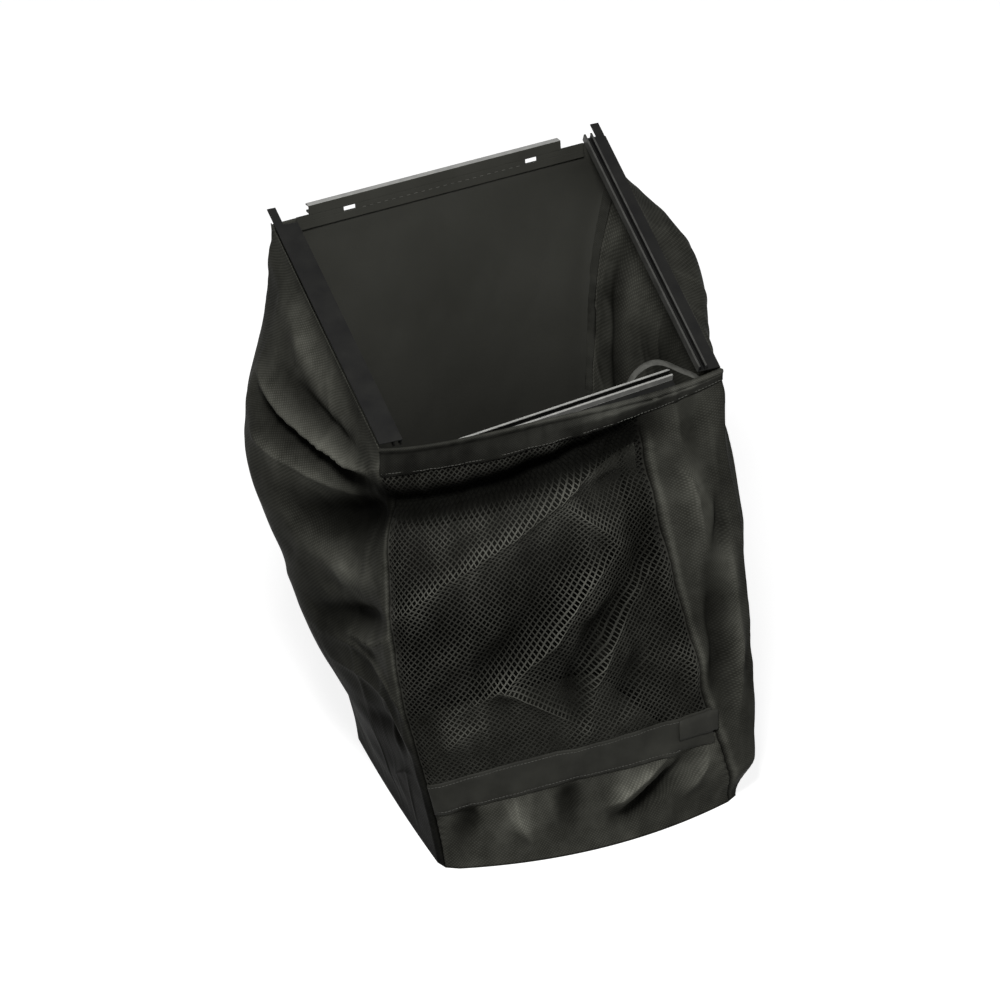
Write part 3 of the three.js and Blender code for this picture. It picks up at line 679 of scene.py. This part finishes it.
def net_cells():
    columns = 2 * round(NET_WIDTH / NET_PITCH)
    rows = 2 * round(FRONT_HEIGHT * (NET_END - NET_TOP) / NET_PITCH)
    place, level = between_seams(0.0, net_seam, np.linspace(NET_TOP, NET_END, rows + 1), columns)
    points, crest = form(place, level, NET_WEAR)
    at = np.arange(points.shape[0] * points.shape[1]).reshape(points.shape[:2])
    faces = []
    for row in range(rows + 1):
        for column in range(columns + 1):
            if (row + column) % 2:
                ring = [(row - 1, column), (row, column - 1), (row + 1, column), (row, column + 1)]
                ring = [at[r, c] for r, c in ring if 0 <= r <= rows and 0 <= c <= columns]
                if len(ring) >= 3:
                    faces.append(ring)
    used = sorted({v for ring in faces for v in ring})
    new_number = {old: new for new, old in enumerate(used)}
    mesh = bpy.data.meshes.new("net")
    faces = [[new_number[v] for v in ring] for ring in faces]
    mesh.from_pydata(points.reshape(-1, 3)[used].tolist(), [], faces)
    # The net carries the wall's painted highlights and shade, and the painted shade under the hem
    keep_crest(mesh, crest.ravel()[used])
    mark = mesh.attributes.new("open", "BOOLEAN", "FACE")
    mark.data.foreach_set("value", [len(ring) == 4 for ring in faces])
    return placed("net", mesh)


net = grown(net_cells(), net_tree(net_knit), **{"Hole Share": HOLE_SHARE})
net_solid = net.modifiers.new("thickness", "SOLIDIFY")
net_solid.thickness = NET_THREAD
net_solid.offset = -1
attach(net, "root")
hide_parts("front_mesh_panel")

# Shade sheet
# A sheet of very dark nylon that hangs down inside behind the net, as deep as the net's tuck: painted shade
# under the hem.
shade_sheet_cloth = woven_material(
    "shade_sheet_cloth", (0.003, 0.003, 0.0025), (0.007, 0.007, 0.006), 0.0024, 0.0003, 0.6
)
SHADE_SHEET_PLACES = (0, 0.14, 0.32, 0.51, 0.64, 0.80)
SHADE_SHEET_FEET = (0.165, 0.185, 0.187, 0.160, 0.128, 0.092)  # level of its lower edge at those places
SHADE_SHEET_TOP = 0.045
SHADE_SHEET_GAP = NET_THREAD + 0.0007
shade_sheet_place, shade_sheet_share = np.meshgrid(np.linspace(0.003, 0.80, 150), np.linspace(0, 1, 50))
shade_sheet_foot = np.interp(shade_sheet_place, SHADE_SHEET_PLACES, SHADE_SHEET_FEET)
shade_sheet_level = SHADE_SHEET_TOP + shade_sheet_share * (shade_sheet_foot - SHADE_SHEET_TOP)
shade_sheet_points = wall(shade_sheet_place, shade_sheet_level, NET_WEAR)
shade_sheet_points = shade_sheet_points - wall_normals(shade_sheet_place, shade_sheet_level) * SHADE_SHEET_GAP
shade_sheet = cloth_object("hem_shade_sheet", shade_sheet_points, NET_THREAD, shade_sheet_cloth)
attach(shade_sheet, "root")

# Waist band
# A smooth coated strip sewn over the joint between the net and the lower panel. Its end is doubled
# into a tab that is folded over the seam to the right side.
BAND_HEIGHT = 0.044
band_cloth = cloudy_material(
    "coated_band", (0.020, 0.020, 0.017), (0.034, 0.034, 0.029), 30, 800, 0.0004, 0.6, 0.06
)
band_profile = [(-0.001, 0.0002), (-0.0016, 0.0012), (0.0004, 0.0022), (0.010, 0.0017), (0.022, 0.0016)]
band_profile += [(0.034, 0.0017), (BAND_HEIGHT, 0.0022), (BAND_HEIGHT + 0.0014, 0.0010)]
band_profile += [(BAND_HEIGHT, 0.0001), (0.022, -0.0006)]
band_end = float(net_seam(0.78)) - 2 * STRIP_GAP


def band_top(place):
    """Level of the band's upper edge, which drops towards the left corner."""
    return 0.742 + 0.044 * (1 - np.minimum(place / 0.5, 1)) ** 2


band = strip("waist_band", np.linspace(STRIP_GAP, band_end, 150), band_profile, band_top, 0.0005, band_cloth)
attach(band, "root")
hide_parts("front_waist_band")

tab_cloth = cloudy_material(
    "coated_tab", (0.022, 0.022, 0.019), (0.036, 0.036, 0.031), 30, 800, 0.0004, 0.55, 0.06
)
tab_profile = [(0.000, 0.0016), (0.0004, 0.0034), (0.010, 0.0040)]
tab_profile += [(0.024, 0.0036), (0.0275, 0.0032), (0.028, 0.0016)]
tab_places = np.linspace(band_end - 0.105, band_end + 0.014, 24)


def tab_top(place):
    return band_top(place) + 0.003


tab = strip("band_tab", tab_places, tab_profile, tab_top, 0.0, tab_cloth)
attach(tab, "root")

# Lower front panel
# Nylon again, slack between the band and the closed end, so it stands in soft upright lobes.
lower_place, lower_level = between_seams(0.0, net_seam, np.linspace(0.80, WALL_END, 67), 150)
lower_points, lower_crest = form(lower_place, lower_level)
# The crest value, a little stronger, paints highlights and shade on the lobes and lightens the whole panel
lower = cloth_object("lower_front", lower_points, NYLON, nylon, lower_crest * 1.1 + 0.4)
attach(lower, "root")
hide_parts("front_lower_panel")

# Bottom panel
# A flat piece of nylon that closes the bag and lies on the ground.
base_share = np.linspace(0, 1, 41)
front_edge = wall(base_share, np.ones(41))
right_edge = wall(1 + base_share, np.ones(41))
back_edge = wall(3 - base_share, np.ones(41))
left_edge = wall(4 - base_share, np.ones(41))
x, y = base_share[None, :, None], base_share[:, None, None]
base_points = front_edge[None] * (1 - y) + back_edge[None] * y
base_points = base_points + left_edge[:, None] * (1 - x) + right_edge[:, None] * x
base_points -= (front_edge[0] * (1 - x) + front_edge[-1] * x) * (1 - y)
base_points -= (back_edge[0] * (1 - x) + back_edge[-1] * x) * y
base_points[..., 2] = 0.0
bottom = cloth_object("bottom", base_points, NYLON, nylon)
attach(bottom, "root")
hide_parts("bottom_panel")

# Seam tapes
# Ribbed binding folded over the raw edges inside the bag, one down each corner and one round the closed
# end. The back seams' tapes are a paler copy of the binding: a painted highlight where the nylon is folded.
binding = woven_material(
    "binding_tape", (0.008, 0.008, 0.007), (0.024, 0.024, 0.021), 0.0016, 0.0003, 0.7
)
# A paler copy of the binding: painted highlight
pale_binding = woven_material(
    "pale_binding", (0.014, 0.014, 0.012), (0.038, 0.038, 0.033), 0.0016, 0.0003, 0.7
)
TAPE_WIDTH = 0.018
TAPE = 0.0012


def seam_tape(name, node, seam, material):
    levels = np.linspace(0.07, 0.965, 150)
    middle = seam(levels) if callable(seam) else np.full_like(levels, seam)
    half = TAPE_WIDTH / 2 / MOUTH_WIDTH
    place = middle[:, None] + np.linspace(-half, half, 7)[None]
    level = np.broadcast_to(levels[:, None], place.shape)
    points = wall(place, level) - wall_normals(place, level) * (NYLON + 0.0018)
    piece = cloth_object(name, points, TAPE, material)
    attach(piece, "root")
    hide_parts(node)


seam_tape("tape_front_left", "front_left_seam_tape", 4.0, binding)
seam_tape("tape_front_right", "front_right_seam_tape", net_seam, binding)
seam_tape("tape_back_right", "back_right_seam_tape", 2.0, pale_binding)
seam_tape("tape_back_left", "back_left_seam_tape", 3.0, pale_binding)

ring_place, ring_level = between_seams(0.0, 4.0, np.linspace(0.968, 0.9965, 5), 240)
ring_points = wall(ring_place, ring_level) - wall_normals(ring_place, ring_level) * (NYLON + 0.0018)
ring_tape = cloth_object("tape_base", ring_points, TAPE, binding)
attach(ring_tape, "root")
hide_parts("base_seam_tape")

# Channels
# Extruded plastic: a flat flange that is sewn to the cloth, and a groove whose lips clip over the frame's
# wire. The side channels end in tongues behind the mouth. The lips have a pale colour, a painted highlight
# of the glossy plastic.
CHANNEL_WALL = 0.0018
FLANGE = 0.018
GROOVE = 0.0075
GROOVE_DEPTH = 0.009
GROOVE_LIP = 0.0008
CLOTH_ROOM = 0.0023
CHANNEL_WIDTH = FLANGE + GROOVE + 2 * CHANNEL_WALL
CHANNEL_HEIGHT = GROOVE_DEPTH + CHANNEL_WALL

channel_plastic = cloudy_material(
    "channel_plastic", (0.007, 0.007, 0.007), (0.013, 0.013, 0.012), 40, 900, 0.0003, 0.5, 0.08
)
# Pale lip colours: a painted highlight where the glossy lips catch the light
side_highlit_lips = cloudy_material(
    "side_highlit_lips", (0.034, 0.034, 0.031), (0.060, 0.060, 0.056), 60, 900, 0.0002, 0.4, 0.15
)
highlit_lips = cloudy_material(
    "highlit_lips", (0.22, 0.22, 0.21), (0.34, 0.34, 0.32), 90, 900, 0.0002, 0.35, 0.3
)


def groove_profile(start):
    """Corners of the section: distance along the flange, height of the groove, and lip or not."""
    lip_foot = CHANNEL_HEIGHT - 2 * GROOVE_LIP
    near, far = FLANGE + CHANNEL_WALL, CHANNEL_WIDTH - CHANNEL_WALL
    corners = [(start, 0, 0), (CHANNEL_WIDTH, 0, 1), (CHANNEL_WIDTH, CHANNEL_HEIGHT, 1)]
    corners += [(far - GROOVE_LIP, CHANNEL_HEIGHT, 1), (far - GROOVE_LIP, lip_foot, 0)]
    corners += [(far, lip_foot - GROOVE_LIP, 0), (far, CHANNEL_WALL, 0), (near, CHANNEL_WALL, 0)]
    corners += [(near, lip_foot - GROOVE_LIP, 0), (near + GROOVE_LIP, lip_foot, 0)]
    corners += [(near + GROOVE_LIP, CHANNEL_HEIGHT, 1), (FLANGE, CHANNEL_HEIGHT, 1)]
    if start < FLANGE:
        corners += [(FLANGE, CHANNEL_WALL, 0), (start, CHANNEL_WALL, 0)]
    return corners


def flat_profile(start, end):
    return [(start, 0, 0), (end, 0, 0), (end, CHANNEL_WALL, 0), (start, CHANNEL_WALL, 0)]


def channel(name, origin, axes, runs, lips, body=channel_plastic):
    """Extrudes sections along the length axis, each from one distance to another."""
    mesh = bmesh.new()
    flange_axis, groove_axis, length_axis = (np.array(axis) for axis in axes)
    for corners, start, end in runs:
        ends = []
        for along in (start, end):
            foot = origin + home + length_axis * along
            spots = [foot + flange_axis * u + groove_axis * v for u, v, _ in corners]
            ends.append([mesh.verts.new(spot) for spot in spots])
        for k, (_, _, is_lip) in enumerate(corners):
            after = (k + 1) % len(corners)
            face = mesh.faces.new([ends[0][k], ends[0][after], ends[1][after], ends[1][k]])
            face.material_index = is_lip
        mesh.faces.new(ends[0])
        mesh.faces.new(ends[1])
    bmesh.ops.recalc_face_normals(mesh, faces=mesh.faces)
    data = bpy.data.meshes.new(name)
    mesh.to_mesh(data)
    mesh.free()
    data.materials.append(body)
    data.materials.append(lips)
    piece = placed(name, data)
    rounding = piece.modifiers.new("rounding", "BEVEL")
    rounding.width = 0.0004
    rounding.segments = 2
    rounding.limit_method = "ANGLE"
    rounding.harden_normals = False
    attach(piece, "root")
    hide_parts(name.replace("_rail", "_channel"))


def unit(vector):
    return vector / np.linalg.norm(vector)


TONGUE_LENGTH = 0.020
TONGUE_WIDTH = 0.011
SIDE_BACK_GAP = 0.009  # the left groove hangs down, so it stops short of the back
SIDE_FRONT_GAP = 0.0029
SIDE_LIFT = 0.0014
for name, front, back_corner, inboard, opens_up in (
    ("left_rail", mouth_corners[0], mouth_corners[3], (1, 0, 0), False),
    ("right_rail", mouth_corners[1], mouth_corners[2], (-1, 0, 0), True),
):
    length_axis = unit(back_corner - front)
    inboard = unit(inboard - length_axis * np.dot(inboard, length_axis))
    up = unit(np.cross((1, 0, 0), length_axis))
    length = np.linalg.norm(back_corner - front)
    main_start = 0.0 if opens_up else SIDE_FRONT_GAP
    main_end = length if opens_up else length - SIDE_BACK_GAP
    origin = front + inboard * CLOTH_ROOM + up * (SIDE_LIFT if opens_up else SIDE_LIFT + CHANNEL_WALL)
    runs = [
        (groove_profile(0), main_start, main_end),
        (flat_profile(0, TONGUE_WIDTH), main_end - 0.001, length + TONGUE_LENGTH),
    ]
    lips = side_highlit_lips if opens_up else channel_plastic
    channel(name, origin, (inboard, up if opens_up else -up, length_axis), runs, lips)

# The front channel is sewn inside the hem, lower at its left end. Gap from the corner, and drop
FRONT_LEFT_END = (0.0345, 0.056)
FRONT_RIGHT_END = (MOUTH_WIDTH - 0.0535, 0.0215)
FRONT_ROOM = 0.0058  # from the outside of the hem to the flange
backward = np.array((0, math.cos(MOUTH_TILT), math.sin(MOUTH_TILT)))


def front_flange(gap, drop):
    x = -MOUTH_WIDTH / 2 + gap
    spot = straight_wall(np.array(gap / MOUTH_WIDTH), np.array(drop / FRONT_HEIGHT))
    return np.array((x, spot[1] + FRONT_ROOM, spot[2]))


front_left = front_flange(*FRONT_LEFT_END)
front_right = front_flange(*FRONT_RIGHT_END)
front_length = unit(front_right - front_left)
front_groove = unit(np.cross(front_length, backward))
front_flange_axis = unit(np.cross(front_groove, front_length))
front_runs = [(groove_profile(0), 0, np.linalg.norm(front_right - front_left))]
channel("front_rail", front_left, (front_flange_axis, front_groove, front_length), front_runs, highlit_lips)

# The back channel stands on the back panel's edge, with the hook slots through its flange
back_run = unit(mouth_corners[2] - mouth_corners[3])
back_middle = (mouth_corners[2] + mouth_corners[3]) / 2
back_up = unit(back_middle - straight_wall(np.array(2.5), np.array(FLANGE / FRONT_HEIGHT)))
back_out = unit(np.cross(back_up, back_run))
back_reach = MOUTH_WIDTH / 2 - 0.0026 - CHANNEL_WIDTH
BACK_GAP_LEFT = 0.0485
BACK_GAP_RIGHT = 0.0615
slot_low = FLANGE - SLOT_DROP - SLOT_HEIGHT / 2
slot_high = slot_low + SLOT_HEIGHT
# The back groove's top edge takes the pale lip colour too, a painted highlight
back_groove = [(u, v, int(u == CHANNEL_WIDTH and v == 0)) for u, v, _ in groove_profile(FLANGE - 0.001)]
back_runs = [
    (back_groove, BACK_GAP_LEFT - MOUTH_WIDTH / 2, MOUTH_WIDTH / 2 - BACK_GAP_RIGHT),
    (flat_profile(0, slot_low), -back_reach, back_reach),
    (flat_profile(slot_high, FLANGE), -back_reach, back_reach),
    (flat_profile(slot_low, slot_high), -back_reach, -SLOT_SPREAD - SLOT_WIDTH / 2),
    (flat_profile(slot_low, slot_high), -SLOT_SPREAD + SLOT_WIDTH / 2, SLOT_SPREAD - SLOT_WIDTH / 2),
    (flat_profile(slot_low, slot_high), SLOT_SPREAD + SLOT_WIDTH / 2, back_reach),
]
flange_plastic = cloudy_material(
    "flange_plastic", (0.026, 0.026, 0.022), (0.036, 0.036, 0.031), 12, 900, 0.0003, 0.55, 0.08
)
back_origin = back_middle - back_out * (CLOTH_ROOM + CHANNEL_WALL) - back_up * FLANGE
channel("back_rail", back_origin, (back_up, back_out, back_run), back_runs, highlit_lips, flange_plastic)

# Channel end loop
# A strip of binding sewn inside the hem loops over the right end of the front channel and holds it down.
loop_steps = [(-52, 17, -8), (-47, 17, 6), (-34, 16, 17), (-19, 14, 22)]
loop_steps += [(-4, 9, 18), (11, -2, 9), (24, -9, 5), (34, -11, -5)]
loop_end = front_right - (0, FRONT_ROOM, 0) + backward * (CHANNEL_WIDTH - GROOVE / 2 - CHANNEL_WALL)
loop_path = bpy.data.curves.new("loop_path", "CURVE")
loop_path.dimensions = "3D"
loop_line = loop_path.splines.new("NURBS")
loop_line.points.add(len(loop_steps) - 1)
for point, step in zip(loop_line.points, loop_steps):
    point.co = (*(loop_end + home + np.array(step) / 1000), 1)
loop_line.use_endpoint_u = True
loop_line.order_u = 4
loop_line.resolution_u = 12
loop_section = bpy.data.curves.new("loop_section", "CURVE")
loop_ring = loop_section.splines.new("POLY")
loop_corners = [(-5, -0.4), (-4.6, -0.8), (4.6, -0.8), (5, -0.4)]
loop_corners += [(5, 0.4), (4.6, 0.8), (-4.6, 0.8), (-5, 0.4)]
loop_ring.points.add(len(loop_corners) - 1)
for point, (u, v) in zip(loop_ring.points, loop_corners):
    point.co = (u / 1000, v / 1000, 0, 1)
loop_ring.use_cyclic_u = True
section_object = placed("loop_section", loop_section)
loop_path.bevel_mode = "OBJECT"
loop_path.bevel_object = section_object
loop_path.use_fill_caps = True
loop_curve = placed("loop_path", loop_path)
bpy.context.view_layer.update()
loop_mesh = bpy.data.meshes.new_from_object(loop_curve.evaluated_get(bpy.context.evaluated_depsgraph_get()))
bpy.data.objects.remove(loop_curve)
bpy.data.objects.remove(section_object)
loop_ribs = cloudy_material(
    "loop_binding", (0.050, 0.050, 0.045), (0.110, 0.110, 0.100), 120, 900, 0.0004, 0.55, 0.1
)
loop_mesh.materials.clear()
loop_mesh.materials.append(loop_ribs)
loop = placed("end_loop", loop_mesh)
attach(loop, "root")
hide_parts("channel_end_loop")

# Stitching
# Rows of thread: across the back below the channel, along the hem and along both edges of the band.
thread = cloudy_material(
    "thread", (0.050, 0.050, 0.044), (0.085, 0.085, 0.075), 200, 900, 0.0002, 0.6, 0.2
)


def stitch_tree(material):
    """Lays one short rounded stitch after another along a line."""
    tree = bpy.data.node_groups.new("stitches", "GeometryNodeTree")
    tree.interface.new_socket("Line", in_out="INPUT", socket_type="NodeSocketGeometry")
    for name, value in (("Pitch", 0.005), ("Stitch Length", 0.003), ("Thread Radius", 0.0004)):
        tree.interface.new_socket(name, in_out="INPUT", socket_type="NodeSocketFloat").default_value = value
    tree.interface.new_socket("Stitches", in_out="OUTPUT", socket_type="NodeSocketGeometry")
    nodes, links = tree.nodes, tree.links
    inlet = nodes.new("NodeGroupInput")
    as_curve = nodes.new("GeometryNodeMeshToCurve")
    links.new(inlet.outputs["Line"], as_curve.inputs["Mesh"])
    spots = nodes.new("GeometryNodeCurveToPoints")
    spots.mode = "LENGTH"
    links.new(as_curve.outputs["Curve"], spots.inputs["Curve"])
    links.new(inlet.outputs["Pitch"], spots.inputs["Length"])
    stitch = nodes.new("GeometryNodeMeshCylinder")
    stitch.inputs["Vertices"].default_value = 6
    links.new(inlet.outputs["Thread Radius"], stitch.inputs["Radius"])
    links.new(inlet.outputs["Stitch Length"], stitch.inputs["Depth"])
    lay = nodes.new("GeometryNodeInstanceOnPoints")
    links.new(spots.outputs["Points"], lay.inputs["Points"])
    links.new(stitch.outputs["Mesh"], lay.inputs["Instance"])
    links.new(spots.outputs["Rotation"], lay.inputs["Rotation"])
    realize = nodes.new("GeometryNodeRealizeInstances")
    links.new(lay.outputs["Instances"], realize.inputs["Geometry"])
    paint = nodes.new("GeometryNodeSetMaterial")
    paint.inputs["Material"].default_value = material
    links.new(realize.outputs["Geometry"], paint.inputs["Geometry"])
    outlet = nodes.new("NodeGroupOutput")
    links.new(paint.outputs["Geometry"], outlet.inputs["Stitches"])
    return tree


stitches = stitch_tree(thread)


def stitch_row(name, place, level, lift, pitch, length, slot):
    points = wall(place, level) + wall_normals(place, level) * lift
    mesh = bpy.data.meshes.new(name)
    mesh.from_pydata(points.tolist(), [(k, k + 1) for k in range(len(points) - 1)], [])
    row = placed(name, mesh)
    grown(row, stitches, **{"Pitch": pitch, "Stitch Length": length})
    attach(row, "root")


LONG_STITCH = (0.0095, 0.0042)  # pitch and length
SHORT_STITCH = (0.0045, 0.0030)
back_line = np.linspace(2.27, 2.73, 160)
back_stitch_level = np.full(160, 0.0078 / BACK_HEIGHT)
stitch_row("stitches_back", back_line, back_stitch_level, -0.0044, *LONG_STITCH, "coated_cloth")
hem_line = np.linspace(0.01, 0.99, 200)
hem_stitch_level = 0.034 * hem_taper(hem_line) / FRONT_HEIGHT
stitch_row("stitches_hem", hem_line, hem_stitch_level, 0.0024, *SHORT_STITCH, "hem_webbing")
band_line = np.linspace(0.01, band_end - 0.11, 160)
for name, drop in (("stitches_band_top", 0.003), ("stitches_band_foot", 0.041)):
    band_stitch_level = band_top(band_line) + drop / FRONT_HEIGHT
    stitch_row(name, band_line, band_stitch_level, 0.0021, *SHORT_STITCH, "coated_band")

# Studio
# A white floor and surround, soft lamps and a camera above the net side of the bag.


def white_for_the_eye(nodes, links, plain, seen):
    """One level for light on the object, another where the surface is seen, mirrored or looked through."""
    ray = nodes.new("ShaderNodeLightPath")
    directly = nodes.new("ShaderNodeMath")
    directly.operation = "MAXIMUM"
    links.new(ray.outputs["Is Camera Ray"], directly.inputs[0])
    links.new(ray.outputs["Is Transmission Ray"], directly.inputs[1])
    at_all = nodes.new("ShaderNodeMath")
    at_all.operation = "MAXIMUM"
    links.new(directly.outputs["Value"], at_all.inputs[0])
    links.new(ray.outputs["Is Glossy Ray"], at_all.inputs[1])
    level = nodes.new("ShaderNodeMapRange")
    level.inputs["To Min"].default_value = plain
    level.inputs["To Max"].default_value = seen
    links.new(at_all.outputs["Value"], level.inputs["Value"])
    return level.outputs["Result"]


floor_mesh = bpy.data.meshes.new("floor")
floor_mesh.from_pydata([(-6, -6, 0), (6, -6, 0), (6, 6, 0), (-6, 6, 0)], [], [(0, 1, 2, 3)])
floor = placed("floor", floor_mesh)
floor.location.z = -0.0003
floor_paint = bpy.data.materials.new("floor_paint")
floor_paint.use_nodes = True
floor_nodes = floor_paint.node_tree.nodes
floor_shader = floor_nodes["Principled BSDF"]
floor_shader.inputs["Base Color"].default_value = (0.4, 0.4, 0.4, 1)
floor_shader.inputs["Roughness"].default_value = 0.9
floor_shader.inputs["Emission Color"].default_value = (1, 1, 1, 1)
floor_links = floor_paint.node_tree.links
floor_seen = white_for_the_eye(floor_nodes, floor_links, 0.0, 0.85)
floor_links.new(floor_seen, floor_shader.inputs["Emission Strength"])
floor.data.materials.append(floor_paint)

world = bpy.data.worlds.new("studio")
bpy.context.scene.world = world
world.use_nodes = True
world_nodes = world.node_tree.nodes
world_links = world.node_tree.links
world_nodes["Background"].inputs["Color"].default_value = (1, 1, 1, 1)
world_level = white_for_the_eye(world_nodes, world_links, 0.08, 1.0)
world_links.new(world_level, world_nodes["Background"].inputs["Strength"])


def soft_lamp(name, place, aim, width, power):
    data = bpy.data.lights.new(name, "AREA")
    data.shape = "SQUARE"
    data.size = width
    data.energy = power
    lamp = placed(name, data)
    lamp.location = place
    lamp.rotation_euler = (Vector(aim) - Vector(place)).to_track_quat("-Z", "Y").to_euler()


soft_lamp("key_lamp", (-0.9, -1.5, 2.8), (0, 0, 0.4), 0.6, 96)
soft_lamp("fill_lamp", (2.4, -1.4, 1.3), (0, 0, 0.4), 0.9, 10)

# The image's centre falls on this point, and its 1000 pixels span 1.2 m there
aim_point = Vector((-0.0466, -0.1274, 0.4314)) + Vector(home)
CAMERA_AZIMUTH = math.radians(-23.5)
CAMERA_ELEVATION = math.radians(33.5)
CAMERA_LENS = 200
towards_camera = Vector((math.sin(CAMERA_AZIMUTH), -math.cos(CAMERA_AZIMUTH), 0))
towards_camera *= math.cos(CAMERA_ELEVATION)
towards_camera.z = math.sin(CAMERA_ELEVATION)
camera_data = bpy.data.cameras.new("camera")
camera_data.lens = CAMERA_LENS
camera_data.sensor_width = 36
camera_data.clip_end = 50
camera = placed("camera", camera_data)
camera.location = aim_point + towards_camera * (1.2 * CAMERA_LENS / 36)
camera.rotation_euler = (-towards_camera).to_track_quat("-Z", "Y").to_euler()
bpy.context.scene.camera = camera
bpy.context.scene.view_settings.view_transform = "Standard"
